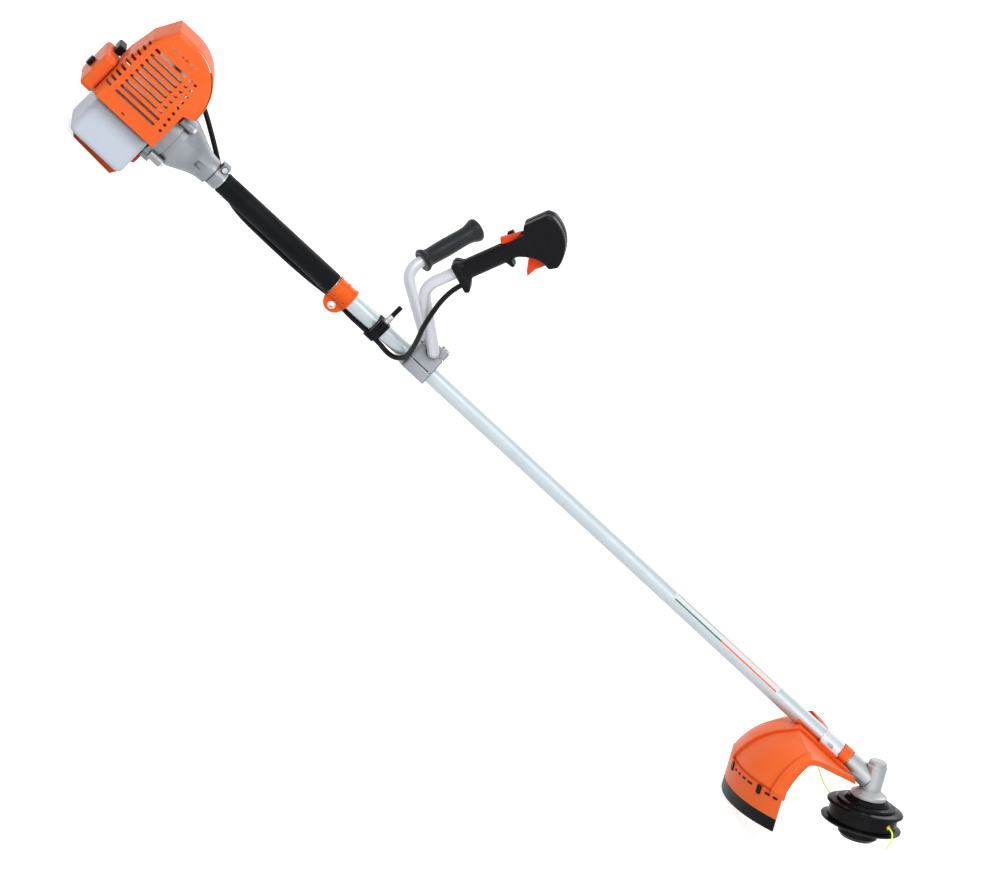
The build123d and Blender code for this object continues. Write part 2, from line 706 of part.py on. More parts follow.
conduit_top = RIGHT_GRIP.from_local_coords(Vector(conduit_exit[0], conduit_exit[1] - FIT, 0))
conduit_lead = RIGHT_GRIP.from_local_coords(Vector(conduit_exit[0], conduit_exit[1] - 26, 0))
under_tube = TUBE_R + CONDUIT_R + GAP
under_sleeve = TUBE_R + SLEEVE_WALL + CONDUIT_R + GAP
conduit_route = [
    conduit_top,
    conduit_lead,
    point(111, -88, 72),
    point(126, -64, 38),
    point(135, -42, 12),
    point(136, -27, -4),
    point(129, -15, -16),
    point(115, -5, -21),
    point(95, 0, -under_tube),
    point(56, 0, -under_tube),
    point(30, 10, -21),
    point(0, 20, -19),
    point(-40, 13, -22),
    point(-90, 5, -under_sleeve),
    point(-150, 5.5, -under_sleeve),
    point(-205, 8, -under_sleeve + 1),
    point(-240, 20, -14),
    point(-262, 28, 0),
    point(-286, 30, 17),
    point(-315, 31, 36),
    point(-345, 36, 54),
    point(-366, 46, 63.5),
    point(-383, 53.5, 69.5),
    point(CABLE_STOP_X, CABLE_STOP_Y, CABLE_STOP_Z),
]
CONDUIT_ARC = 0.45


def cord_radii(route):
    """For each inner corner, the largest arc that its two runs leave room for."""
    radii = []
    for before, corner, after in zip(route, route[1:], route[2:]):
        turn = radians((corner - before).get_angle(after - corner))
        shorter = min((corner - before).length, (after - corner).length)
        radii.append(CONDUIT_ARC * shorter / tan(turn / 2))
    return radii


def cord(route, radius):
    """A round tube along the route, which gives back its length."""
    with BuildLine() as path:
        FilletPolyline(*route, radius=cord_radii(route))
    with BuildSketch(Plane(path.line @ 0, z_dir=path.line % 0)) as section:
        Circle(radius)
    sweep(section.sketch, path=path.line)
    return path.wires()[0].length


def describe_cord(name, route, radius, length, volume):
    print(name, "radii", [round(arc) for arc in cord_radii(route)])
    print(name, "length", round(length), "volume ratio", round(volume / (pi * radius**2 * length), 4))


with BuildPart() as throttle_conduit:
    conduit_length = cord(conduit_route, CONDUIT_R)
describe_cord("conduit", conduit_route, CONDUIT_R, conduit_length, throttle_conduit.part.volume)
throttle_conduit.part.label = "throttle_conduit"
export_step(throttle_conduit.part, "parts/throttle_conduit.step")

# Cable strap round the shaft and the conduit, with the cable adjuster in front

strap_r = TUBE_R + STRAP_WALL
loop_r = CONDUIT_R + GAP + STRAP_WALL
with BuildPart() as cable_strap:
    with BuildSketch(across(STRAP_START)):
        Circle(strap_r)
        with Locations((0, -under_tube)):
            Circle(loop_r)
        with Locations((0, -under_tube / 2)):
            Rectangle(2 * loop_r, under_tube)
        Circle(TUBE_R + FIT, mode=Mode.SUBTRACT)
        with Locations((0, -under_tube)):
            Circle(CONDUIT_R + GAP, mode=Mode.SUBTRACT)
    extrude(amount=STRAP_WIDTH)
cable_strap.part.label = "cable_strap"
export_step(cable_strap.part, "parts/cable_strap.step")

adjuster_x = STRAP_START + STRAP_WIDTH / 2
adjuster_height = ADJUSTER_TOP - ADJUSTER_BOTTOM
with BuildPart() as cable_adjuster:
    body_plane = level(ADJUSTER_BOTTOM, adjuster_x, ADJUSTER_Y)
    rounded_box(body_plane, STRAP_WIDTH, ADJUSTER_WIDTH, adjuster_height, 4)
    window = side(ADJUSTER_Y - ADJUSTER_WIDTH / 2, adjuster_x, (ADJUSTER_TOP + ADJUSTER_BOTTOM) / 2)
    with BuildSketch(window) as windows:
        with GridLocations(STRAP_WIDTH / 2.4, 0, 2, 1):
            RectangleRounded(STRAP_WIDTH / 6, adjuster_height * 0.6, 1)
    extrude(windows.sketch, amount=-SHELL_WALL, mode=Mode.SUBTRACT)
    foot_depth = -ADJUSTER_Y - ADJUSTER_WIDTH / 2 - strap_r
    rounded_box(side(-strap_r, adjuster_x, 0), STRAP_WIDTH * 0.8, ADJUSTER_WIDTH / 2, foot_depth, 2)
    disc(level(FERRULE_TOP, adjuster_x, ADJUSTER_Y), BOOT_R, BOOT_TOP - FERRULE_TOP)
cable_adjuster.part.label = "cable_adjuster"
export_step(cable_adjuster.part, "parts/cable_adjuster.step")

FERRULE_RIBS = 4
ferrule_pitch = (FERRULE_TOP - ADJUSTER_TOP) / FERRULE_RIBS
with BuildPart() as adjuster_ferrule:
    disc(level(ADJUSTER_TOP, adjuster_x, ADJUSTER_Y), BOOT_R, FERRULE_TOP - ADJUSTER_TOP)
    for index in range(FERRULE_RIBS):
        rib = ADJUSTER_TOP + ferrule_pitch * (index + 0.25)
        disc(level(rib, adjuster_x, ADJUSTER_Y), FERRULE_R, ferrule_pitch / 2)
adjuster_ferrule.part.label = "adjuster_ferrule"
export_step(adjuster_ferrule.part, "parts/adjuster_ferrule.step")

# Clutch housing: a cast bell with a split collar that grips the shaft tube

bearing_seat = drum_bearing
with BuildPart() as clutch_housing:
    with BuildSketch(SHAFT_SECTION):
        with BuildLine():
            Line((BELL_FACE, 0), (BELL_FACE, BELL_R))
            Line((BELL_FACE, BELL_R), (BELL_FACE + 13, BELL_R - 1))
            Spline(
                (BELL_FACE + 13, BELL_R - 1),
                (BELL_FACE + BELL_WAIST, BELL_WAIST_R),
                (BELL_FACE + BELL_TAPER, BELL_TAPER_R),
                (BELL_NECK, BELL_NECK_R),
            )
            Polyline(
                (BELL_NECK, BELL_NECK_R),
                (BELL_NECK, COLLAR_R - 2),
                (COLLAR_START, COLLAR_R - 2),
                (COLLAR_START, COLLAR_R),
                (COLLAR_END, COLLAR_R),
                (COLLAR_END, 0),
                (BELL_FACE, 0),
            )
        make_face()
    revolve(axis=SHAFT_AXIS)
    for y, z in bell_lugs:
        disc(across(BELL_FACE, y, z), LUG_R, LUG_DEPTH)
    rounded_box(level(COLLAR_R - 4, collar_x), 15, 22, 11, 3)
    drum_room = DRUM_DEPTH + DRUM_WALL + BODY_GAP + 1 + GAP
    disc(across(BELL_FACE - 1), DRUM_R + BODY_GAP, drum_room, mode=Mode.SUBTRACT)
    disc(across(BELL_FACE), BEARING_R + FIT, bearing_seat + BEARING_WIDTH - BELL_FACE, mode=Mode.SUBTRACT)
    disc(across(BELL_FACE), DRIVE_R + DRUM_HUB_R, TUBE_REAR - BELL_FACE, mode=Mode.SUBTRACT)
    disc(across(TUBE_REAR), TUBE_R + FIT, COLLAR_END - TUBE_REAR + 1, mode=Mode.SUBTRACT)
    collar_slit = level(0, (BELL_NECK + COLLAR_END) / 2)
    rounded_box(collar_slit, COLLAR_END - BELL_NECK, 2, 3 * COLLAR_R, 0.5, Mode.SUBTRACT)
    rounded_box(side(-BELL_NECK_R - 20, BELL_NECK - 18, 0), 30, 11, -20, 3, Mode.SUBTRACT)
    for y, z in bell_lugs:
        disc(across(BELL_FACE, y, z), SCREW_R + FIT, LUG_DEPTH, mode=Mode.SUBTRACT)
    collar_bolt = side(COLLAR_R, collar_x, COLLAR_R + 1)
    disc(collar_bolt, SCREW_R + FIT, 2 * COLLAR_R, mode=Mode.SUBTRACT)
clutch_housing.part.label = "clutch_housing"
export_step(clutch_housing.part, "parts/clutch_housing.step")

with BuildPart() as clutch_drum:
    disc(across(BELL_FACE + GAP), DRUM_R, DRUM_DEPTH + DRUM_WALL)
    disc(across(BELL_FACE + GAP), DRUM_R - DRUM_WALL, DRUM_DEPTH, mode=Mode.SUBTRACT)
    disc(across(drum_floor + DRUM_WALL - FIT), DRUM_HUB_R - FIT, BEARING_WIDTH + BODY_GAP + FIT)
    disc(across(drum_floor + DRUM_WALL), DRIVE_R, BEARING_WIDTH * 2, mode=Mode.SUBTRACT)
clutch_drum.part.label = "clutch_drum"
export_step(clutch_drum.part, "parts/clutch_drum.step")

shoe_r = DRUM_R - DRUM_WALL - SHOE_GAP
shoe_start = BELL_FACE + GAP + BODY_GAP
with BuildPart() as clutch_shoes:
    disc(across(shoe_start), shoe_r, SHOE_LENGTH, bore=CRANK_R + FIT)
    rounded_box(across(shoe_start, 0, 0), 3 * shoe_r, 2.4, SHOE_LENGTH, 0.5, Mode.SUBTRACT)
clutch_shoes.part.label = "clutch_shoes"
export_step(clutch_shoes.part, "parts/clutch_shoes.step")

# Crankcase with the fan case in front, and the crank train

case_bore = CASE_R - CASE_WALL
seat_depth = BEARING_WIDTH + 1
with BuildPart() as crankcase:
    disc(across(FAN_CASE_REAR), FAN_CASE_R, BELL_FACE - FAN_CASE_REAR)
    disc(across(CASE_REAR), CASE_R, FAN_CASE_REAR - CASE_REAR)
    case_length = FAN_CASE_REAR - CASE_REAR
    rounded_box(level(0, (CASE_REAR + FAN_CASE_REAR) / 2), case_length - 10, 2 * CASE_R, CYLINDER_BASE, 4)
    rounded_box(level(-FAN_CASE_R - 6, FAN_CASE_REAR + 10), 18, 28, 30, 4)
    disc(across(COVER_REAR), CASE_R, CASE_REAR - COVER_REAR)
    disc(across(COVER_REAR), CASE_R - CASE_WALL, CASE_REAR - COVER_REAR, mode=Mode.SUBTRACT)
    for y, z in bell_lugs:
        disc(across(BELL_FACE, y, z), LUG_R, -LUG_DEPTH)
    disc(across(FAN_CASE_REAR + FAN_CASE_WALL), FAN_CASE_R - FAN_CASE_WALL, 60, mode=Mode.SUBTRACT)
    for y, z in bell_lugs:
        disc(across(BELL_FACE, y, z), SCREW_R + FIT, -LUG_DEPTH, mode=Mode.SUBTRACT)
    disc(across(CASE_REAR + seat_depth), case_bore, case_length - 2 * seat_depth, mode=Mode.SUBTRACT)
    disc(across(CASE_REAR - 40), BEARING_R + FIT, 2 * case_length, mode=Mode.SUBTRACT)
    disc(level(0, CYLINDER_X), BORE_R + LINER_WALL + FIT, CYLINDER_BASE + 1, mode=Mode.SUBTRACT)
crankcase.part.label = "crankcase"
export_step(crankcase.part, "parts/crankcase.step")

throw = STROKE / 2
web_gap = 13.0
with BuildPart() as crankshaft:
    disc(across(CASE_REAR - 30), CRANK_R, CYLINDER_X - web_gap / 2 - CASE_REAR + 30)
    disc(across(CYLINDER_X + web_gap / 2), CRANK_R, BELL_FACE + SHOE_LENGTH - CYLINDER_X - web_gap / 2)
    disc(across(CYLINDER_X - web_gap / 2), WEB_R, -WEB_THICKNESS)
    disc(across(CYLINDER_X + web_gap / 2), WEB_R, WEB_THICKNESS)
    disc(across(CYLINDER_X - web_gap / 2, 0, throw), PIN_R, web_gap)
crankshaft.part.label = "crankshaft"
export_step(crankshaft.part, "parts/crankshaft.step")

rod_width = web_gap - 2 * BODY_GAP
wrist_z = throw + ROD_LENGTH
with BuildPart() as connecting_rod:
    with BuildSketch(across(CYLINDER_X - rod_width / 2)):
        with Locations((0, throw)):
            Circle(PIN_R + 4)
        with Locations((0, wrist_z)):
            Circle(PIN_R + 3)
        with Locations((0, (throw + wrist_z) / 2)):
            Rectangle(PIN_R + 2, ROD_LENGTH)
        with Locations((0, throw), (0, wrist_z)):
            Circle(PIN_R + RUN, mode=Mode.SUBTRACT)
    extrude(amount=rod_width)
connecting_rod.part.label = "connecting_rod"
export_step(connecting_rod.part, "parts/connecting_rod.step")

PISTON_HEIGHT = 34.0
piston_top = wrist_z + 16
with BuildPart() as piston:
    disc(level(piston_top, CYLINDER_X), BORE_R - RUN, -PISTON_HEIGHT)
    disc(level(piston_top - 4, CYLINDER_X), BORE_R - 3.5, -PISTON_HEIGHT, mode=Mode.SUBTRACT)
    disc(across(CYLINDER_X - BORE_R + 3, 0, wrist_z), PIN_R, 2 * BORE_R - 6)
piston.part.label = "piston"
export_step(piston.part, "parts/piston.step")

fin_pitch = (CYLINDER_TOP - CYLINDER_BASE - 8) / FIN_COUNT
PLUG_R = 6.0
with BuildPart() as cylinder:
    disc(level(CYLINDER_BASE, CYLINDER_X), BORE_R + LINER_WALL, CYLINDER_TOP - CYLINDER_BASE)
    rounded_box(level(CYLINDER_BASE, CYLINDER_X), 56, 60, 6, 6)
    for index in range(FIN_COUNT):
        height = CYLINDER_BASE + 10 + fin_pitch * index
        rounded_box(level(height, CYLINDER_X), 2 * FIN_HALF, 2 * FIN_HALF, FIN_THICKNESS, 12)
    rounded_box(side(FIN_HALF + 2, CYLINDER_X, CARB_Z), 30, 30, 26, 4)
    rounded_box(side(-FIN_HALF - 2, CYLINDER_X, CARB_Z), 30, 26, -26, 4)
    disc(level(CYLINDER_BASE - 1, CYLINDER_X), BORE_R, piston_top + 3 - CYLINDER_BASE, mode=Mode.SUBTRACT)
    disc(level(CYLINDER_BASE, CYLINDER_X), PLUG_R + FIT, 2 * CYLINDER_TOP, mode=Mode.SUBTRACT)
    disc(side(2 * FIN_HALF, CYLINDER_X, CARB_Z), INTAKE_R - 3, 2 * FIN_HALF, mode=Mode.SUBTRACT)
    disc(side(0, CYLINDER_X, CARB_Z), INTAKE_R - 3, 2 * FIN_HALF, mode=Mode.SUBTRACT)
cylinder.part.label = "cylinder"
export_step(cylinder.part, "parts/cylinder.step")

with BuildPart() as spark_plug:
    disc(level(piston_top + 5, CYLINDER_X), PLUG_R, CYLINDER_TOP - piston_top - 5)
    with BuildSketch(level(CYLINDER_TOP, CYLINDER_X)) as hexagon:
        RegularPolygon(PLUG_R + 3, 6)
    extrude(hexagon.sketch, amount=7)
    disc(level(CYLINDER_TOP + 7, CYLINDER_X), PLUG_R - 1, 8)
    disc(level(CYLINDER_TOP + 10, CYLINDER_X), PLUG_R + 3, 16)
spark_plug.part.label = "spark_plug"
export_step(spark_plug.part, "parts/spark_plug.step")

VANES = 14
VANE_ROOT = 4.0
VANE_RADIUS = 33.0
VANE_LENGTH = 17.0
VANE_THICKNESS = 2.4
VANE_HEIGHT = 9.0
VANE_TURN = 25.0
with BuildPart() as flywheel:
    flywheel_start = FAN_CASE_REAR + FAN_CASE_WALL + BODY_GAP
    disc(across(flywheel_start), FLYWHEEL_R, 5, bore=CRANK_R + FIT)
    disc(across(flywheel_start), 14, 12, bore=CRANK_R + FIT)
    with BuildSketch(across(flywheel_start + VANE_ROOT)) as vanes:
        with PolarLocations(VANE_RADIUS, VANES):
            Rectangle(VANE_LENGTH, VANE_THICKNESS, rotation=VANE_TURN)
    extrude(vanes.sketch, amount=VANE_HEIGHT)
flywheel.part.label = "flywheel"
export_step(flywheel.part, "parts/flywheel.step")

with BuildPart() as muffler:
    width, depth, height = MUFFLER_SIZE
    x, y, z = MUFFLER_CENTER
    rounded_box(side(y + depth / 2, x, z), width, height, depth, 12)
    fillet(muffler.edges().filter_by(GeomType.LINE, reverse=True), 5)
    rounded_box(side(-FIN_HALF - 2 - FIT, CYLINDER_X, CARB_Z), 26, 24, 4, 4)
    disc(side(y, x + width / 2 - 16, z - height / 2 + 14), 7, 19)
    skin = MUFFLER_WALL
    inside = side(y + depth / 2 - skin, x, z)
    rounded_box(inside, width - 2 * skin, height - 2 * skin, depth - 2 * skin, 12 - skin, Mode.SUBTRACT)
muffler.part.label = "muffler"
export_step(muffler.part, "parts/muffler.step")

# Engine cover: a slotted moulding over the cylinder and the muffler

COVER_STEP = 50.0
COVER_EDGE = 9.0
COVER_HEEL = 62.0
COVER_KNEE = 8.0
COVER_KNEE_Z = 108.0
COVER_SLOPE = 29.0
COVER_CREST = 64.0
COVER_LIP = 20.0
COVER_LIP_RISE = 8.0


def cover_outline(inset=0.0, drop=0.0):
    """The cover's side outline, drawn smaller by the inset and longer below by the drop."""
    bottom = COVER_BOTTOM - drop
    rear = COVER_REAR + inset
    top = COVER_TOP - inset
    front = COVER_FRONT - inset
    crest = (rear + COVER_CREST, top)
    lip = (front + COVER_LIP, COVER_STEP + COVER_LIP_RISE)
    knee = (rear + COVER_KNEE, COVER_KNEE_Z)
    heel = (rear, COVER_HEEL)
    Polyline((front, bottom), (rear, bottom), heel, knee, (rear + COVER_SLOPE, top), crest)
    TangentArc(crest, lip, tangent=(1, 0))
    Polyline(lip, (front, COVER_STEP), (front, bottom))


with BuildPart() as engine_cover:
    with BuildSketch(side(COVER_LEFT)) as cover_face:
        with BuildLine():
            cover_outline()
        make_face()
    extrude(cover_face.sketch, amount=COVER_LEFT - COVER_RIGHT)
    near_edges = engine_cover.faces().sort_by(Axis.Y)[0].edges()
    fillet(near_edges.sort_by(Axis.Z)[-4:] + near_edges.sort_by(Axis.X)[:1], COVER_EDGE)
    with BuildSketch(side(COVER_LEFT - COVER_WALL)) as cover_inside:
        with BuildLine():
            cover_outline(COVER_WALL, COVER_EDGE)
        make_face()
    extrude(cover_inside.sketch, amount=COVER_LEFT - COVER_RIGHT - 2 * COVER_WALL, mode=Mode.SUBTRACT)
    window_half = FIN_HALF + COVER_ROOM
    window = side(COVER_LEFT + 1, CYLINDER_X, COVER_WINDOW_TOP - CYLINDER_TOP)
    rounded_box(window, 2 * window_half, 2 * CYLINDER_TOP, 2 * COVER_WALL, COVER_ROOM, Mode.SUBTRACT)
    disc(across(COVER_REAR - 1), CASE_R + 5, COVER_FRONT - COVER_REAR + 2, mode=Mode.SUBTRACT)
    with BuildSketch(side(COVER_RIGHT - 1)) as slots:
        slot_round = SLOT_HEIGHT / 2.2
        for index in range(SLOT_ROWS):
            height = SLOT_FIRST + SLOT_PITCH * index
            slot_end = SLOT_FRONT if index < LONG_SLOTS else SHORT_SLOT_FRONT
            with Locations(((SLOT_REAR + slot_end) / 2, height)):
                RectangleRounded(slot_end - SLOT_REAR, SLOT_HEIGHT, slot_round)
            with Locations((HOLE_COLUMN - HOLE_LEAN * index, height)):
                RectangleRounded(HOLE_LENGTH, SLOT_HEIGHT, slot_round)
            if index >= LONG_SLOTS:
                with Locations((INNER_HOLE_COLUMN, height)):
                    RectangleRounded(INNER_HOLE_LENGTH, SLOT_HEIGHT, slot_round)
        for index in range(SLIT_COUNT):
            with Locations((SLIT_REAR + SLIT_PITCH * index, SLIT_Z)):
                Rectangle(SLIT_LENGTH, SLIT_HEIGHT)
        with Locations((LOW_SLIT_X, LOW_SLIT_Z)):
            Rectangle(SLIT_LENGTH, SLIT_HEIGHT)
    extrude(slots.sketch, amount=-COVER_WALL - 2, mode=Mode.SUBTRACT)
    with BuildSketch(side(COVER_RIGHT - 1)) as corner_slots:
        for index in range(SLOT_ROWS):
            with Locations((COVER_REAR, SLOT_FIRST + SLOT_PITCH * index)):
                Rectangle(20, SLOT_HEIGHT)
    extrude(corner_slots.sketch, amount=-16, mode=Mode.SUBTRACT)
engine_cover.part.label = "engine_cover"
export_step(engine_cover.part, "parts/engine_cover.step")

# Recoil starter behind the engine

starter_front = COVER_REAR - FIT
starter_depth = starter_front - STARTER_REAR
starter_height = STARTER_TOP - STARTER_BOTTOM
starter_z = (STARTER_TOP + STARTER_BOTTOM) / 2
with BuildPart() as starter_housing:
    rounded_box(across(STARTER_REAR, 0, starter_z), 2 * STARTER_HALF, starter_height, starter_depth, 9)
    fillet(starter_housing.faces().sort_by(Axis.X)[0].edges(), 6)
    inner = 2 * (STARTER_HALF - STARTER_WALL)
    inner_height = starter_height - 2 * STARTER_WALL
    cavity = across(STARTER_REAR + STARTER_WALL + 2, 0, starter_z)
    rounded_box(cavity, inner, inner_height, starter_depth, 7, Mode.SUBTRACT)
    disc(across(STARTER_REAR - 1), PULLEY_HUB_R + RUN, starter_depth, mode=Mode.SUBTRACT)
    disc(level(PULLEY_R, PULL_X, PULL_Y), PULL_STEM_R + GAP, 2 * STARTER_TOP, mode=Mode.SUBTRACT)
starter_housing.part.label = "starter_housing"
export_step(starter_housing.part, "parts/starter_housing.step")

pulley_start = STARTER_REAR + STARTER_WALL + 2 + BODY_GAP
with BuildPart() as starter_pulley:
    disc(across(pulley_start), PULLEY_R, PULLEY_WIDTH)
    groove = PULLEY_WIDTH / 4
    disc(across(pulley_start + groove), PULLEY_R + 1, 2 * groove, bore=PULLEY_R - 6, mode=Mode.SUBTRACT)
    disc(across(STARTER_REAR - BUMPER_LENGTH), PULLEY_HUB_R, pulley_start - STARTER_REAR + BUMPER_LENGTH)
    disc(across(STARTER_REAR - BUMPER_LENGTH), PULLEY_HUB_R + 2, BUMPER_LENGTH - BODY_GAP)
starter_pulley.part.label = "starter_pulley"
export_step(starter_pulley.part, "parts/starter_pulley.step")

pull_z = STARTER_TOP + BODY_GAP / 2 + PULL_GRIP_R
with BuildPart() as starter_handle:
    grip_end = side(PULL_Y + PULL_GRIP_LENGTH / 2, PULL_X, pull_z)
    rounded_box(grip_end, 2 * PULL_GRIP_R, 2 * PULL_GRIP_R, PULL_GRIP_LENGTH, 4)
    fillet(starter_handle.edges(), 2.5)
    disc(level(STARTER_TOP - 12, PULL_X, PULL_Y), PULL_STEM_R, 13)
starter_handle.part.label = "starter_handle"
export_step(starter_handle.part, "parts/starter_handle.step")

# Fuel tank with its cap, and the foot under it

tank_length = TANK_FRONT - TANK_REAR
tank_x = (TANK_FRONT + TANK_REAR) / 2
tank_height = TANK_TOP - TANK_BOTTOM
saddle_r = CASE_R + FIT
with BuildPart() as tank_cavity:
    cavity_floor = level(TANK_BOTTOM + TANK_WALL, tank_x)
    cavity_corner = TANK_CORNER - TANK_WALL
    cavity_length = tank_length - 2 * TANK_WALL
    cavity_width = 2 * (TANK_HALF - TANK_WALL)
    rounded_box(cavity_floor, cavity_length, cavity_width, tank_height - 2 * TANK_WALL, cavity_corner)
    fillet(tank_cavity.faces().sort_by(Axis.Z)[0].edges(), 5)
    fillet(tank_cavity.faces().sort_by(Axis.Z)[-1].edges(), 4)
    disc(across(TANK_REAR), saddle_r + TANK_WALL, tank_length, mode=Mode.SUBTRACT)
with BuildPart() as fuel_tank:
    rounded_box(level(TANK_BOTTOM, tank_x), tank_length, 2 * TANK_HALF, tank_height, TANK_CORNER)
    fillet(fuel_tank.faces().sort_by(Axis.Z)[0].edges(), 7)
    fillet(fuel_tank.faces().sort_by(Axis.Z)[-1].edges(), 5)
    disc(across(TANK_REAR - 1), saddle_r, tank_length + 2, mode=Mode.SUBTRACT)
    disc(across(TANK_FRONT - TANK_WALL, CAP_Y, CAP_Z), CAP_NECK_R, TANK_WALL + CAP_LENGTH / 2)
    add(tank_cavity.part, mode=Mode.SUBTRACT)
    filler = across(TANK_FRONT - TANK_WALL - 1, CAP_Y, CAP_Z)
    disc(filler, CAP_NECK_R - TANK_WALL, 2 * CAP_LENGTH, mode=Mode.SUBTRACT)
fuel_tank.part.label = "fuel_tank"
export_step(fuel_tank.part, "parts/fuel_tank.step")

CAP_RIBS = 18
with BuildPart() as fuel_cap:
    disc(across(TANK_FRONT + BODY_GAP, CAP_Y, CAP_Z), CAP_R - 1, CAP_LENGTH)
    with BuildSketch(across(TANK_FRONT + BODY_GAP, CAP_Y, CAP_Z)) as ribs:
        with PolarLocations(CAP_R - 1, CAP_RIBS):
            Circle(1)
    extrude(ribs.sketch, amount=CAP_LENGTH - 2)
    disc(across(TANK_FRONT, CAP_Y, CAP_Z), CAP_NECK_R + RUN, CAP_LENGTH / 2 + BODY_GAP, mode=Mode.SUBTRACT)
fuel_cap.part.label = "fuel_cap"
export_step(fuel_cap.part, "parts/fuel_cap.step")


def floor_height(x):
    return FOOT_BOTTOM - (x - foot_x) * tan(radians(REST_PITCH))


with BuildPart() as tank_foot:
    with BuildSketch(side(FOOT_HALF)):
        top = TANK_BOTTOM - FIT
        inset = FOOT_WALL * 2
        Polygon(
            (FOOT_REAR, top),
            (FOOT_REAR + inset, floor_height(FOOT_REAR + inset)),
            (FOOT_FRONT - inset, floor_height(FOOT_FRONT - inset)),
            (FOOT_FRONT, top),
            align=None,
        )
        hollow_top = floor_height(foot_x) + 2 * FOOT_WALL
        with Locations((foot_x, (top + hollow_top) / 2 - 1)):
            Rectangle(FOOT_FRONT - FOOT_REAR - 4 * inset, top - hollow_top, mode=Mode.SUBTRACT)
    extrude(amount=2 * FOOT_HALF)
tank_foot.part.label = "tank_foot"
export_step(tank_foot.part, "parts/tank_foot.step")

# Carburettor side of the engine

carb_width, carb_depth, carb_height = CARB_SIZE
intake_face = FIN_HALF + 2 + FIT
ARM_PIN_R = 2.5
STOP_BOTTOM = 47.0
STOP_TOP = 79.0
STOP_WIDTH = 14.0
STOP_THICKNESS = 3.0
with BuildPart() as carburettor:
    rounded_box(side(CARB_Y + carb_depth / 2, CYLINDER_X, CARB_Z), carb_width, carb_height, carb_depth, 4)
    disc(side(CARB_Y, CYLINDER_X, CARB_Z), INTAKE_R, CARB_Y - intake_face)
    disc(side(CARB_Y + carb_depth, CYLINDER_X, CARB_Z), INTAKE_R - 3, 2 * carb_depth + 20, mode=Mode.SUBTRACT)
    disc(across(CYLINDER_X + carb_width / 2 - 1, CARB_Y, CARB_Z), ARM_PIN_R, 7)
    stop_x = CABLE_STOP_X - BODY_GAP
    stop_plate = across(stop_x, CABLE_STOP_Y, (STOP_BOTTOM + STOP_TOP) / 2)
    rounded_box(stop_plate, STOP_WIDTH, STOP_TOP - STOP_BOTTOM, -STOP_THICKNESS, 3)
    stop_arm = across(stop_x, CABLE_STOP_Y, STOP_BOTTOM + STOP_THICKNESS / 2)
    rounded_box(stop_arm, STOP_WIDTH / 2, STOP_THICKNESS, CYLINDER_X + carb_width / 2 - 1 - stop_x, 1)
carburettor.part.label = "carburettor"
export_step(carburettor.part, "parts/carburettor.step")

ARM_LENGTH = 16.0
arm_x = CYLINDER_X + carb_width / 2 + BODY_GAP
with BuildPart() as throttle_arm:
    with BuildSketch(across(arm_x, CARB_Y, CARB_Z)):
        Circle(6)
        with Locations((0, ARM_LENGTH / 2)):
            Rectangle(6, ARM_LENGTH)
        with Locations((0, ARM_LENGTH)):
            Circle(4)
        Circle(ARM_PIN_R + RUN, mode=Mode.SUBTRACT)
        with Locations((0, ARM_LENGTH)):
            Circle(1.6, mode=Mode.SUBTRACT)
    extrude(amount=2)
throttle_arm.part.label = "throttle_arm"
export_step(throttle_arm.part, "parts/throttle_arm.step")

filter_x = (FILTER_REAR + FILTER_FRONT) / 2
filter_z = (FILTER_BOTTOM + FILTER_TOP) / 2
filter_right = CARB_Y + carb_depth / 2 + FIT
filter_size = (FILTER_FRONT - FILTER_REAR, FILTER_TOP - FILTER_BOTTOM)
CHOKE_PIVOT_Y = 86.0
CHOKE_PIVOT_Z = 48.0
with BuildPart() as air_filter_cover:
    rounded_box(side(FILTER_LEFT, filter_x, filter_z), *filter_size, FILTER_LEFT - filter_right, 14)
    fillet(air_filter_cover.faces().sort_by(Axis.Y)[-1].edges(), 9)
    inner_size = (filter_size[0] - 2 * FILTER_WALL, filter_size[1] - 2 * FILTER_WALL)
    inner_depth = FILTER_LEFT - filter_right - 2 * FILTER_WALL - 4
    filter_inside = side(FILTER_LEFT - FILTER_WALL - 4, filter_x, filter_z)
    rounded_box(filter_inside, *inner_size, inner_depth, 12, Mode.SUBTRACT)
    disc(side(FILTER_LEFT - 20, CYLINDER_X, CARB_Z), INTAKE_R - 3, 40, mode=Mode.SUBTRACT)
    disc(side(FILTER_LEFT + 7, filter_x, filter_z), 9, 8)
    disc(across(FILTER_FRONT - 1, CHOKE_PIVOT_Y, CHOKE_PIVOT_Z), 2.5, 6)
air_filter_cover.part.label = "air_filter_cover"
export_step(air_filter_cover.part, "parts/air_filter_cover.step")

CHOKE_LENGTH = 22.0
with BuildPart() as choke_lever:
    with BuildSketch(across(FILTER_FRONT + BODY_GAP, CHOKE_PIVOT_Y, CHOKE_PIVOT_Z)):
        Circle(6)
        with Locations((CHOKE_LENGTH / 2, 0)):
            RectangleRounded(CHOKE_LENGTH + 4, 8, 3.5)
        Circle(2.5 + RUN, mode=Mode.SUBTRACT)
    extrude(amount=3)
choke_lever.part.label = "choke_lever"
export_step(choke_lever.part, "parts/choke_lever.step")

# Gear head: a bevel pinion on the drive shaft turns the crown gear on the spindle

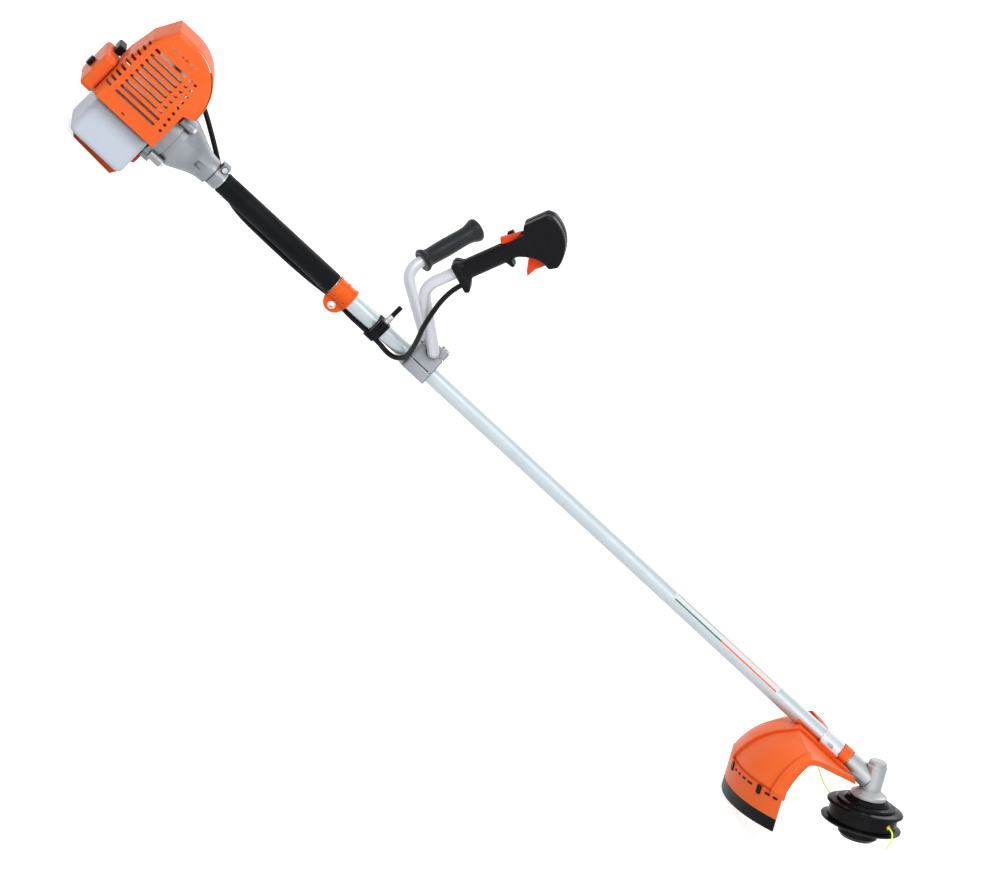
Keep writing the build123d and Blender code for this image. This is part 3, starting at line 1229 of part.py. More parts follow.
UPPER_BEARING_R = 11.0
UPPER_BEARING_WIDTH = 7.0
CROWN_CAVITY_R = 13.4
PINION_CAVITY_R = 11.0
GEAR_BEARING_R = 13.0
module = 2 * CONE_DISTANCE * sin(pinion_angle) / PINION_TEETH
addendum = 0.8 * module
dedendum = 1.0 * module
crown_back = CONE_DISTANCE * cos(crown_angle) + dedendum * sin(crown_angle) + CROWN_HUB
upper_seat = crown_back + GAP
PINION_FRAME = row(Plane((HEAD_X, 0, 0), x_dir=(0, 0, 1), z_dir=(-1, 0, 0)))
pinion_root = CONE_DISTANCE * cos(pinion_angle) + dedendum * sin(pinion_angle)
pinion_bearing = HEAD_X - pinion_root - PINION_HUB - GAP - BEARING_WIDTH
spindle_bearings = [
    (HEAD.offset(upper_seat), UPPER_BEARING_R, UPPER_BEARING_WIDTH),
    (HEAD.offset(CASE_BOTTOM), BEARING_R, BEARING_WIDTH),
]


def bevel_gear(frame, teeth, cone, hub_r, hub_length, phase):
    """A straight bevel gear whose apex is the frame's origin and whose back is along its z axis."""
    shrink = (CONE_DISTANCE - TOOTH_FACE) / CONE_DISTANCE
    heel = CONE_DISTANCE * cos(cone) - addendum * sin(cone)
    half = pi * module / 4 - BACKLASH / 4
    flank = tan(radians(PRESSURE_ANGLE))
    corners = []
    for height, hand in ((-dedendum, -1), (addendum, -1), (addendum, 1), (-dedendum, 1)):
        scale = heel / (CONE_DISTANCE * cos(cone) - height * sin(cone))
        radius = (CONE_DISTANCE * sin(cone) + height * cos(cone)) * scale
        corners.append((radius, hand * (half - height * flank) * scale))
    outline = []
    for index in range(teeth):
        turn = 2 * pi * (index + phase) / teeth
        for out, over in corners:
            outline.append((out * cos(turn) - over * sin(turn), out * sin(turn) + over * cos(turn)))
    ends = []
    for scale in (1, shrink):
        with BuildSketch(frame.offset(heel * scale)) as end:
            Polygon(*[(x * scale, y * scale) for x, y in outline], align=None)
        ends.append(end.sketch)
    loft(ends, ruled=True)
    hub_end = CONE_DISTANCE * cos(cone) + dedendum * sin(cone) + hub_length
    disc(frame.offset(heel), hub_r, hub_end - heel)


with BuildPart() as pinion:
    bevel_gear(PINION_FRAME, PINION_TEETH, pinion_angle, DRIVE_R + 3, PINION_HUB, 0)
    pinion_bore = drive_front - pinion_back + 2 * PINION_HUB
    disc(across(pinion_back - 2 * PINION_HUB), DRIVE_R, pinion_bore, mode=Mode.SUBTRACT)
pinion.part.label = "pinion"
export_step(pinion.part, "parts/pinion.step")

with BuildPart() as crown_gear:
    bevel_gear(HEAD, CROWN_TEETH, crown_angle, SPINDLE_R + 4, CROWN_HUB, 0.5)
    disc(HEAD, SPINDLE_R + FIT, CASE_TOP, mode=Mode.SUBTRACT)
crown_gear.part.label = "crown_gear"
export_step(crown_gear.part, "parts/crown_gear.step")

with BuildPart() as gear_case:
    disc(across(NECK_REAR), NECK_R, HEAD_X - NECK_REAR - CASE_BODY_R / 2)
    turned(HEAD_SECTION, HEAD_AXIS, [
        (0, CASE_TOP + CAP_HEIGHT),
        (CASE_BODY_R - 5, CASE_TOP + CAP_HEIGHT),
        (CASE_BODY_R - 2, CASE_TOP + CAP_HEIGHT - 2),
        (CASE_BODY_R - 2, CASE_TOP),
        (CASE_BODY_R, CASE_TOP - 2),
        (CASE_BODY_R, CASE_BOTTOM + 14),
        (CASE_FLANGE_R - 4, CASE_BOTTOM + 8),
        (CASE_FLANGE_R, CASE_BOTTOM + 6),
        (CASE_FLANGE_R, CASE_BOTTOM),
        (0, CASE_BOTTOM),
    ])
    rounded_box(level(-NECK_R - 7, NECK_REAR + 8), 15, 20, NECK_R, 3)
    disc(across(NECK_REAR - 1), TUBE_R + FIT, TUBE_FRONT - NECK_REAR + 1, mode=Mode.SUBTRACT)
    bearing_room = pinion_bearing + BEARING_WIDTH - TUBE_FRONT
    disc(across(TUBE_FRONT), GEAR_BEARING_R + FIT, bearing_room, mode=Mode.SUBTRACT)
    disc(across(TUBE_FRONT), PINION_CAVITY_R, HEAD_X - TUBE_FRONT, mode=Mode.SUBTRACT)
    crown_seat = CASE_BOTTOM + BEARING_WIDTH
    disc(HEAD.offset(crown_seat), CROWN_CAVITY_R, upper_seat - crown_seat, mode=Mode.SUBTRACT)
    for seat, radius, width in spindle_bearings:
        disc(seat, radius + FIT, width, mode=Mode.SUBTRACT)
    rounded_box(level(-2 * NECK_R, NECK_REAR + 8), 18, 2, 2 * NECK_R, 0.5, Mode.SUBTRACT)
    neck_bolt = side(10, NECK_REAR + 8, -NECK_R - 3)
    disc(neck_bolt.offset(-1), SCREW_R + FIT, 30, mode=Mode.SUBTRACT)
gear_case.part.label = "gear_case"
export_step(gear_case.part, "parts/gear_case.step")

with BuildPart() as ball_bearings:
    disc(across(drum_bearing), BEARING_R, BEARING_WIDTH, bore=DRUM_HUB_R)
    disc(across(pinion_bearing), GEAR_BEARING_R, BEARING_WIDTH, bore=DRIVE_R + RUN)
    for seat, radius, width in spindle_bearings:
        disc(seat, radius, width, bore=SPINDLE_R + RUN)
    for x in (CASE_REAR, FAN_CASE_REAR - BEARING_WIDTH):
        disc(across(x), BEARING_R, BEARING_WIDTH, bore=CRANK_R + FIT)
ball_bearings.part.label = "ball_bearings"
export_step(ball_bearings.part, "parts/ball_bearings.step")

# Trimmer head on the spindle

HUB_R = 10.0
HUB_BOTTOM = -56.0
SPOOL_TOP = -50.0
spool_bottom = HEAD_SPLIT + GAP
spindle_top = upper_seat + UPPER_BEARING_WIDTH
with BuildPart() as spindle:
    disc(HEAD.offset(HUB_BOTTOM), SPINDLE_R, spindle_top - HUB_BOTTOM)
spindle.part.label = "spindle"
export_step(spindle.part, "parts/spindle.step")


def head_outward(angle):
    turn = radians(angle)
    return HEAD.x_dir * cos(turn) + HEAD.y_dir * sin(turn)


def head_point(radius, angle, height):
    return HEAD.origin + head_outward(angle) * radius + HEAD.z_dir * height


def head_radial(angle, radius, height):
    """A plane whose normal points straight out from the head axis."""
    return Plane(head_point(radius, angle, height), x_dir=HEAD.z_dir, z_dir=head_outward(angle))


EXIT_ANGLES = (LINE_ANGLE, LINE_ANGLE + 180)
cup_top = CASE_BOTTOM - BODY_GAP
with BuildPart() as head_housing:
    turned(HEAD_SECTION, HEAD_AXIS, [
        (SPINDLE_R + FIT, cup_top),
        (CUP_R - 5, cup_top),
        (CUP_R, cup_top - 5),
        (CUP_R, CUP_BOTTOM),
        (TIER_R - 2, CUP_BOTTOM - 1),
        (TIER_R, CUP_BOTTOM - 3),
        (TIER_R, TIER_BOTTOM),
        (HEAD_FLANGE_R - 3, HEAD_TOP),
        (HEAD_FLANGE_R, HEAD_TOP - 2),
        (HEAD_FLANGE_R, HEAD_TOP - 4),
        (HEAD_BODY_R, HEAD_TOP - 6),
        (HEAD_BODY_R, HEAD_SPLIT),
        (HEAD_BODY_R - HEAD_WALL, HEAD_SPLIT),
        (HEAD_BODY_R - HEAD_WALL, HEAD_TOP - 5),
        (HUB_R, HEAD_TOP - 5),
        (HUB_R, HUB_BOTTOM),
        (SPINDLE_R + FIT, HUB_BOTTOM),
    ])
    for angle in EXIT_ANGLES:
        disc(head_radial(angle, HEAD_BODY_R - 8, LINE_LEVEL), EYELET_R + FIT, 16, mode=Mode.SUBTRACT)
head_housing.part.label = "head_housing"
export_step(head_housing.part, "parts/head_housing.step")

knob_hole = KNOB_R + BODY_GAP
with BuildPart() as head_cover:
    turned(HEAD_SECTION, HEAD_AXIS, [
        (knob_hole, HEAD_SPLIT - FIT),
        (HEAD_BODY_R + 1, HEAD_SPLIT - FIT),
        (HEAD_RIM_R, HEAD_SPLIT - 2),
        (HEAD_RIM_R, HEAD_BOTTOM + 2),
        (HEAD_RIM_R - 2, HEAD_BOTTOM),
        (knob_hole, HEAD_BOTTOM),
    ])
head_cover.part.label = "head_cover"
export_step(head_cover.part, "parts/head_cover.step")

with BuildPart() as bump_knob:
    turned(HEAD_SECTION, HEAD_AXIS, [
        (0, spool_bottom - FIT),
        (KNOB_R, spool_bottom - FIT),
        (KNOB_R, KNOB_BOTTOM + 6),
        (KNOB_R - 6, KNOB_BOTTOM),
        (0, KNOB_BOTTOM),
    ])
bump_knob.part.label = "bump_knob"
export_step(bump_knob.part, "parts/bump_knob.step")

with BuildPart() as line_spool:
    turned(HEAD_SECTION, HEAD_AXIS, [
        (HUB_R + BODY_GAP, spool_bottom),
        (SPOOL_R, spool_bottom),
        (SPOOL_R, spool_bottom + 2),
        (SPOOL_R - 12, spool_bottom + 2),
        (SPOOL_R - 12, SPOOL_TOP - 2),
        (SPOOL_R, SPOOL_TOP - 2),
        (SPOOL_R, SPOOL_TOP),
        (HUB_R + BODY_GAP, SPOOL_TOP),
    ])
line_spool.part.label = "line_spool"
export_step(line_spool.part, "parts/line_spool.step")

with BuildPart() as line_eyelets:
    for angle in EXIT_ANGLES:
        eyelet = head_radial(angle, HEAD_BODY_R - HEAD_WALL - 1, LINE_LEVEL)
        disc(eyelet, EYELET_R, HEAD_WALL + 3, bore=LINE_R + 0.6)
line_eyelets.part.label = "line_eyelets"
export_step(line_eyelets.part, "parts/line_eyelets.step")

line_start = HEAD_BODY_R - HEAD_WALL
long_route = [
    head_point(line_start, LINE_ANGLE, LINE_LEVEL),
    head_point(66, LINE_ANGLE, LINE_LEVEL + 0.5),
    head_point(84, LINE_ANGLE - 1, LINE_LEVEL + 5),
    head_point(101, LINE_ANGLE - 2, LINE_LEVEL + 13),
    head_point(116, LINE_ANGLE - 3, LINE_LEVEL + 25),
    head_point(131, LINE_ANGLE - 3.5, LINE_LEVEL + 36),
    head_point(146, LINE_ANGLE - 3.5, LINE_LEVEL + 44),
]
with BuildPart() as line_long:
    long_length = cord(long_route, LINE_R)
describe_cord("long line", long_route, LINE_R, long_length, line_long.part.volume)
line_long.part.label = "line_long"
export_step(line_long.part, "parts/line_long.step")

SHORT_ANGLE = LINE_ANGLE + 180
short_route = [
    head_point(line_start, SHORT_ANGLE, LINE_LEVEL),
    head_point(58, SHORT_ANGLE, LINE_LEVEL),
    head_point(66, SHORT_ANGLE - 0.5, LINE_LEVEL - 2),
    head_point(72, SHORT_ANGLE - 2, LINE_LEVEL - 7),
    head_point(75, SHORT_ANGLE - 3.5, LINE_LEVEL - 14.5),
    head_point(74.5, SHORT_ANGLE - 5, LINE_LEVEL - 22.5),
    head_point(71, SHORT_ANGLE - 6.5, LINE_LEVEL - 30),
]
with BuildPart() as line_short:
    short_length = cord(short_route, LINE_R)
describe_cord("short line", short_route, LINE_R, short_length, line_short.part.volume)
line_short.part.label = "line_short"
export_step(line_short.part, "parts/line_short.step")

# Guard: a moulded shell behind the head, with an extension and a skirt below

GUARD_PEAK = 110.0
GUARD_DEEP = 300.0
guard_half = GUARD_R * sin(radians(GUARD_ANGLE)) + FIT


def guard_form(inset, angle, low):
    """The guard's outer form, drawn smaller by the inset."""
    radius = GUARD_R - inset
    front_r = GUARD_FRONT_R - inset
    haunch = (radius - GUARD_HAUNCH[0], GUARD_WALL_TOP + GUARD_HAUNCH[1] - inset / 2)
    shoulder = (GUARD_R - GUARD_SHOULDER[0], GUARD_WALL_TOP + GUARD_SHOULDER[1] - inset)
    start = head_outward(-angle)
    with BuildSketch(Plane(HEAD.origin, x_dir=start, z_dir=start.cross(HEAD.z_dir))) as face:
        with BuildLine():
            Polyline((front_r, low), (radius, low), (radius, GUARD_WALL_TOP))
            ThreePointArc((radius, GUARD_WALL_TOP), haunch, shoulder)
            Polyline(shoulder, (front_r, GUARD_PEAK - inset), (front_r, low))
        make_face()
    revolve(face.sketch, axis=HEAD_AXIS, revolution_arc=2 * angle)
    with BuildSketch(across(HEAD_X - 2 * GUARD_R, 0, GUARD_ROOF - inset - GUARD_DEEP / 2)) as arch:
        RectangleRounded(2 * (guard_half - inset), GUARD_DEEP, GUARD_ROUND - inset)
    extrude(arch.sketch, amount=3 * GUARD_R, mode=Mode.INTERSECT)


def guard_band(radius, wall, low, high, angle, mode=Mode.ADD):
    """A stretch of wall about the head axis between two heights."""
    start = head_outward(-angle)
    with BuildSketch(Plane(HEAD.origin, x_dir=start, z_dir=start.cross(HEAD.z_dir))) as face:
        with Locations((radius - wall / 2, (low + high) / 2)):
            Rectangle(wall, high - low)
    revolve(face.sketch, axis=HEAD_AXIS, revolution_arc=2 * angle, mode=mode)


with BuildPart() as guard_outer:
    guard_form(GUARD_STEP, GUARD_ANGLE, GUARD_RIM)
    guard_band(GUARD_R, GUARD_STEP + GUARD_WALL, GUARD_RIM, GUARD_RIM + GUARD_BEAD, GUARD_ANGLE)
with BuildPart() as guard_inner:
    guard_form(GUARD_STEP + GUARD_WALL, GUARD_ANGLE + 10, GUARD_RIM - 10)
with BuildPart() as guard_spine:
    guard_form(0, GUARD_ANGLE, GUARD_RIM)
    with BuildSketch(across(HEAD_X - 2 * GUARD_R)) as spine_limit:
        Rectangle(2 * GUARD_SPINE_HALF, 2 * GUARD_DEEP)
    extrude(spine_limit.sketch, amount=3 * GUARD_R, mode=Mode.INTERSECT)
with BuildPart() as guard_flange:
    guard_form(0, GUARD_ANGLE, GUARD_RIM)
    flange_rear = GUARD_ANGLE - GUARD_FLANGE_ANGLE
    guard_band(2 * GUARD_R, 2 * GUARD_R - BODY_GAP, -GUARD_DEEP, GUARD_DEEP, flange_rear, Mode.SUBTRACT)
saddle_top = GUARD_ROOF + 4
saddle_length = SADDLE_FRONT - SADDLE_REAR
with BuildPart() as saddle:
    disc(across(SADDLE_REAR), TUBE_R + SADDLE_WALL, saddle_length)
    open_length = BRACKET_FRONT + BODY_GAP - SADDLE_REAR
    open_top = level(saddle_top, SADDLE_REAR + open_length / 2)
    rounded_box(open_top, open_length, 4 * TUBE_R, 2 * TUBE_R, 1, Mode.SUBTRACT)
BOSS_Y = 22.0
BOSS_WIDTH = 12.0
bracket_x = (BRACKET_REAR + BRACKET_FRONT) / 2
bracket_length = BRACKET_FRONT - BRACKET_REAR
with BuildPart() as guard:
    add(guard_outer.part)
    add(guard_spine.part)
    add(guard_flange.part)
    add(guard_inner.part, mode=Mode.SUBTRACT)
    add(saddle.part)
    for y in (-BOSS_Y, BOSS_Y):
        rounded_box(level(saddle_top, bracket_x, y), bracket_length, BOSS_WIDTH, -3 * GUARD_WALL, 2)
        disc(level(saddle_top, bracket_x, y), SCREW_R + FIT, -6 * GUARD_WALL, mode=Mode.SUBTRACT)
    disc(across(SADDLE_REAR - 2 * GUARD_R), TUBE_R + FIT, 4 * GUARD_R, mode=Mode.SUBTRACT)
    disc(across(SADDLE_FRONT), NECK_R + GAP, GUARD_R, mode=Mode.SUBTRACT)
guard.part.label = "guard"
export_step(guard.part, "parts/guard.step")

strap_plane = across(BRACKET_REAR)
with BuildPart() as guard_bracket:
    with BuildSketch(strap_plane) as strap:
        Circle(TUBE_R + BRACKET_WALL)
        with Locations((0, saddle_top + FIT - 2 * TUBE_R)):
            Rectangle(4 * TUBE_R, 4 * TUBE_R, align=(Align.CENTER, Align.CENTER), mode=Mode.SUBTRACT)
        with Locations((0, saddle_top + FIT + BRACKET_WALL / 2)):
            Rectangle(2 * BOSS_Y + BOSS_WIDTH, BRACKET_WALL)
        Circle(TUBE_R + FIT, mode=Mode.SUBTRACT)
    extrude(strap.sketch, amount=bracket_length)
    for y in (-BOSS_Y, BOSS_Y):
        disc(level(saddle_top, bracket_x, y), SCREW_R + FIT, 2 * BRACKET_WALL, mode=Mode.SUBTRACT)
guard_bracket.part.label = "guard_bracket"
export_step(guard_bracket.part, "parts/guard_bracket.step")

with BuildPart() as guard_extension:
    guard_band(GUARD_R, GUARD_WALL, EXTENSION_BOTTOM, GUARD_RIM - FIT, GUARD_ANGLE)
guard_extension.part.label = "guard_extension"
export_step(guard_extension.part, "parts/guard_extension.step")

CLIP_WIDTH = 9.0
CLIP_HEIGHT = 14.0
CLIP_DEPTH = 2.0
with BuildPart() as guard_skirt:
    guard_band(GUARD_R, SKIRT_WALL, SKIRT_BOTTOM, EXTENSION_BOTTOM - FIT, GUARD_ANGLE)
    for index in range(CLIP_COUNT):
        angle = (index - (CLIP_COUNT - 1) / 2) * 2 * GUARD_ANGLE / CLIP_COUNT
        rounded_box(head_radial(angle, GUARD_R + FIT, GUARD_RIM), CLIP_HEIGHT, CLIP_WIDTH, CLIP_DEPTH, 1)
guard_skirt.part.label = "guard_skirt"
export_step(guard_skirt.part, "parts/guard_skirt.step")

CUTTER_ANGLE = 44.0
CUTTER_SIZE = (16.0, 22.0)
with BuildPart() as line_cutter:
    blade = head_radial(CUTTER_ANGLE, GUARD_R - SKIRT_WALL - FIT, SKIRT_BOTTOM + CUTTER_SIZE[0] / 2 + 2)
    rounded_box(blade, CUTTER_SIZE[0], 6, -CUTTER_SIZE[1], 1)
line_cutter.part.label = "line_cutter"
export_step(line_cutter.part, "parts/line_cutter.step")

# Screws and bolts, all alike, in one group

with BuildPart() as frame_screws:
    for x in (-CLAMP_SCREW_X, CLAMP_SCREW_X):
        for y in (-CLAMP_SCREW_Y, CLAMP_SCREW_Y):
            seat = Plane(BAR.from_local_coords(Vector(x, y, CLAMP_TOP)), x_dir=BAR.x_dir, z_dir=BAR.z_dir)
            screw(seat, CLAMP_TOP + CLAMP_BOTTOM - BODY_GAP)
    for y, z in bell_lugs:
        screw(across(BELL_FACE + LUG_DEPTH, y, z), 2 * LUG_DEPTH - BODY_GAP)
    for y in (-BOSS_Y, BOSS_Y):
        screw(level(saddle_top + FIT + BRACKET_WALL, bracket_x, y), 4 * GUARD_WALL)
    screw(side(-10, NECK_REAR + 8, -NECK_R - 3), 19)
    screw(side(-11, collar_x, COLLAR_R + 1), 20)
frame_screws.part.label = "frame_screws"
export_step(frame_screws.part, "parts/frame_screws.step")
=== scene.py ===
"""Looks of the string trimmer: finishes, cords, softened pieces, floor, lights and camera."""

import json
from math import cos, exp, pi, radians, sin

import bmesh
import bpy
from mathutils import Matrix, Vector

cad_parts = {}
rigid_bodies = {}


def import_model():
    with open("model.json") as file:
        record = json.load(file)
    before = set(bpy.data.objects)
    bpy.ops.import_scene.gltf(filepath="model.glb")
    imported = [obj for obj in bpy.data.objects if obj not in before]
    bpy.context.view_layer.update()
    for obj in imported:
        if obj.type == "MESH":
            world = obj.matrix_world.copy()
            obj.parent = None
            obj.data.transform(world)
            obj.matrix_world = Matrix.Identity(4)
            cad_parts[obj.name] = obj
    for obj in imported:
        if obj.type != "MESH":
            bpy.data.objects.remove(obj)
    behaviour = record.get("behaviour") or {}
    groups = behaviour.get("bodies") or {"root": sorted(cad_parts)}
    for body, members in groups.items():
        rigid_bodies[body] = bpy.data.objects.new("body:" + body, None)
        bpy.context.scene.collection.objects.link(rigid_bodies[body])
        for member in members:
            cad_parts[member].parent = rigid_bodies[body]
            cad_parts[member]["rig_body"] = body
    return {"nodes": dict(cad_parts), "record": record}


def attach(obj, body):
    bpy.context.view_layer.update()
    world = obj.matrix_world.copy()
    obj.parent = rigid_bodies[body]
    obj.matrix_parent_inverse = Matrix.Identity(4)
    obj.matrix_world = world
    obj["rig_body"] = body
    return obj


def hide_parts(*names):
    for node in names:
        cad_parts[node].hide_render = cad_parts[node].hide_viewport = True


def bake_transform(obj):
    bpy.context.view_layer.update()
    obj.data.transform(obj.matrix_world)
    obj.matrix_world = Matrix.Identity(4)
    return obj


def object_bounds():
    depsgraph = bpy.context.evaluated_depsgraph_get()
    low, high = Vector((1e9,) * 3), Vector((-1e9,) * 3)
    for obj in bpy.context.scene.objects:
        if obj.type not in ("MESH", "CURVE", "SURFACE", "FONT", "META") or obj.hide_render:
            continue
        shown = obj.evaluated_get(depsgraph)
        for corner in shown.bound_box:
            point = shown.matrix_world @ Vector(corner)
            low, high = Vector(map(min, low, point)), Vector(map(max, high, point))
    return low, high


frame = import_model()
nodes = frame["nodes"]
cad_low, cad_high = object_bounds()
slot_of = {entry["node"]: entry["material_slot"] for entry in frame["record"]["subparts"]}
scene = bpy.context.scene
MM = 0.001

# The shaft's own frame: it stands on the floor with its head end raised by this pitch

REST_PITCH = radians(2.653979)
SHAFT_ABOVE_EYE = 25 * MM
ALONG = Vector((cos(REST_PITCH), 0, sin(REST_PITCH)))
ACROSS = Vector((0, 1, 0))
UP = Vector((-sin(REST_PITCH), 0, cos(REST_PITCH)))
AXIS_POINT = UP * SHAFT_ABOVE_EYE

# Steps that the materials are made of


def new_material(name):
    material = bpy.data.materials.new(name)
    material.use_nodes = True
    tree = material.node_tree
    return material, tree, tree.nodes["Principled BSDF"]


def mapped_coordinates(tree, scale=(1, 1, 1)):
    """Object coordinates, stretched by a scale on each axis."""
    place = tree.nodes.new("ShaderNodeTexCoord")
    mapping = tree.nodes.new("ShaderNodeMapping")
    mapping.inputs["Scale"].default_value = scale
    tree.links.new(place.outputs["Object"], mapping.inputs["Vector"])
    return mapping.outputs["Vector"]


def noise(tree, vector, scale, detail=3.0, roughness=0.55):
    texture = tree.nodes.new("ShaderNodeTexNoise")
    texture.inputs["Scale"].default_value = scale
    texture.inputs["Detail"].default_value = detail
    texture.inputs["Roughness"].default_value = roughness
    tree.links.new(vector, texture.inputs["Vector"])
    return texture.outputs["Fac"]


def spread(tree, value, low, high, start=0.0, end=1.0):
    """A value between low and high mapped to between start and end."""
    ramp = tree.nodes.new("ShaderNodeMapRange")
    ramp.inputs["From Min"].default_value = low
    ramp.inputs["From Max"].default_value = high
    ramp.inputs["To Min"].default_value = start
    ramp.inputs["To Max"].default_value = end
    tree.links.new(value, ramp.inputs["Value"])
    return ramp.outputs["Result"]


def mixed_colour(tree, share, first, second):
    """The first colour where the share is 0 and the second where it is 1."""
    mix = tree.nodes.new("ShaderNodeMix")
    mix.data_type = "RGBA"
    tree.links.new(share, mix.inputs["Factor"])
    for socket, colour in ((mix.inputs["A"], first), (mix.inputs["B"], second)):
        if isinstance(colour, tuple):
            socket.default_value = (*colour, 1)
        else:
            tree.links.new(colour, socket)
    return mix.outputs["Result"]


def calculated(tree, operation, first, second=None):
    """One sum on two values, each a plain number or another step's result."""
    step = tree.nodes.new("ShaderNodeMath")
    step.operation = operation
    for socket, value in zip(step.inputs, (first, second)):
        if isinstance(value, float):
            socket.default_value = value
        elif value is not None:
            tree.links.new(value, socket)
    return step.outputs["Value"]


def dot_with(tree, vector, way):
    product = tree.nodes.new("ShaderNodeVectorMath")
    product.operation = "DOT_PRODUCT"
    product.inputs[1].default_value = way
    tree.links.new(vector, product.inputs[0])
    return product.outputs["Value"]


BEVEL_SAMPLES = 4
FLAT_LIKENESS, EDGE_LIKENESS = 0.995, 0.8
# Occlusion mask for the shade painted into creases
CREASE_SAMPLES = 6
CREASE_REACH = 8 * MM
CREASE_DEEP, CREASE_OPEN = 0.35, 0.95
GRAIN_HEIGHT = 0.3 * MM


def rounded_normal(tree, radius):
    """A normal that turns smoothly over sharp edges."""
    bevel = tree.nodes.new("ShaderNodeBevel")
    bevel.samples = BEVEL_SAMPLES
    bevel.inputs["Radius"].default_value = radius
    return bevel.outputs["Normal"]


def edge_share(tree, normal):
    """How near a place is to a sharp edge: the rounded normal leaves the true one there."""
    true = tree.nodes.new("ShaderNodeNewGeometry")
    alike = tree.nodes.new("ShaderNodeVectorMath")
    alike.operation = "DOT_PRODUCT"
    tree.links.new(normal, alike.inputs[0])
    tree.links.new(true.outputs["Normal"], alike.inputs[1])
    return spread(tree, alike.outputs["Value"], FLAT_LIKENESS, EDGE_LIKENESS)


def painted_shade_share(tree):
    """Mask of the painted shade: 1 in the open and less in corners and grooves."""
    corner = tree.nodes.new("ShaderNodeAmbientOcclusion")
    corner.samples = CREASE_SAMPLES
    corner.inputs["Distance"].default_value = CREASE_REACH
    return spread(tree, corner.outputs["AO"], CREASE_DEEP, CREASE_OPEN)


def bumped(tree, shader, height, strength, normal):
    bump = tree.nodes.new("ShaderNodeBump")
    tree.links.new(normal, bump.inputs["Normal"])
    bump.inputs["Strength"].default_value = strength
    bump.inputs["Distance"].default_value = GRAIN_HEIGHT
    tree.links.new(height, bump.inputs["Height"])
    tree.links.new(bump.outputs["Normal"], shader.inputs["Normal"])


# Noise of the two kinds of finish: scale, detail, and the values between which it changes

PLASTIC_DRIFT = (14, 4), (0.35, 0.65)
PLASTIC_RUBBED = (160, 4, 0.7), (0.42, 0.62)
PLASTIC_GLOSS = (45, 5), (0.3, 0.7)
PLASTIC_GRAIN_DETAIL = 2
METAL_DRIFT = (22, 5), (0.35, 0.68)
METAL_STAIN = (31, 4), (0.5, 0.66)
METAL_GLOSS = (60, 6, 0.65), (0.3, 0.7)
METAL_GRAIN_DETAIL = 3
COAT_ROUGHNESS = 0.12
EDGE_GAIN, EDGE_LIFT = 1.25, 0.03


def patchy(tree, vector, kind, start=0.0, end=1.0):
    """Noise of a kind, mapped to between start and end."""
    pattern, between = kind
    return spread(tree, noise(tree, vector, *pattern), *between, start, end)


def moulded(
    name, colour, shade, rough, grain=900.0, grain_depth=0.1, worn=0.05, edge=0.6 * MM,
    coat=0.0, sheen=0.0, mirror=0.5, glow=0.0, crease_shade=None,
):
    """Plastic or rubber: drifting colour, uneven gloss, fine grain, edges rubbed paler, painted
    shade in creases and a painted glow.
    """
    material, tree, shader = new_material(name)
    vector = mapped_coordinates(tree)
    body = mixed_colour(tree, patchy(tree, vector, PLASTIC_DRIFT), colour, shade)
    normal = rounded_normal(tree, edge)
    patches = patchy(tree, vector, PLASTIC_RUBBED)
    rubbed = calculated(tree, "MULTIPLY", edge_share(tree, normal), patches)
    pale = tuple(min(1.0, c + worn) for c in colour)
    body = mixed_colour(tree, rubbed, body, pale)
    # Painted shade: the crease colour where corners and grooves are in shade
    if crease_shade:
        body = mixed_colour(tree, painted_shade_share(tree), crease_shade, body)
    tree.links.new(body, shader.inputs["Base Color"])
    gloss = patchy(tree, vector, PLASTIC_GLOSS, rough - 0.04, rough + 0.07)
    tree.links.new(gloss, shader.inputs["Roughness"])
    height = noise(tree, vector, grain, PLASTIC_GRAIN_DETAIL)
    bumped(tree, shader, height, grain_depth, normal)
    shader.inputs["Coat Weight"].default_value = coat
    shader.inputs["Coat Roughness"].default_value = COAT_ROUGHNESS
    shader.inputs["Sheen Weight"].default_value = sheen
    shader.inputs["Specular IOR Level"].default_value = mirror
    # Painted light: a glow in the material's own colour
    shader.inputs["Emission Color"].default_value = (*colour, 1)
    shader.inputs["Emission Strength"].default_value = glow
    return material


def metal(
    name, colour, shade, rough, metallic=1.0, stretch=(1, 1, 1), grain=300.0, grain_depth=0.1,
    edge=0.5 * MM, stain=None, crease_shade=None,
):
    """Metal: drifting tone, grain along a stretch, brighter edges, dull patches and painted shade
    in creases.
    """
    material, tree, shader = new_material(name)
    vector = mapped_coordinates(tree, stretch)
    plain = mapped_coordinates(tree)
    body = mixed_colour(tree, patchy(tree, plain, METAL_DRIFT), colour, shade)
    if stain:
        body = mixed_colour(tree, patchy(tree, plain, METAL_STAIN), body, stain)
    normal = rounded_normal(tree, edge)
    bright = tuple(min(1.0, c * EDGE_GAIN + EDGE_LIFT) for c in colour)
    body = mixed_colour(tree, edge_share(tree, normal), body, bright)
    # Painted shade: the crease colour where corners and grooves are in shade
    if crease_shade:
        body = mixed_colour(tree, painted_shade_share(tree), crease_shade, body)
    tree.links.new(body, shader.inputs["Base Color"])
    shader.inputs["Metallic"].default_value = metallic
    gloss = patchy(tree, vector, METAL_GLOSS, rough - 0.05, rough + 0.07)
    tree.links.new(gloss, shader.inputs["Roughness"])
    height = noise(tree, vector, grain, METAL_GRAIN_DETAIL)
    bumped(tree, shader, height, grain_depth, normal)
    return material


# A finish for each material slot of the solids

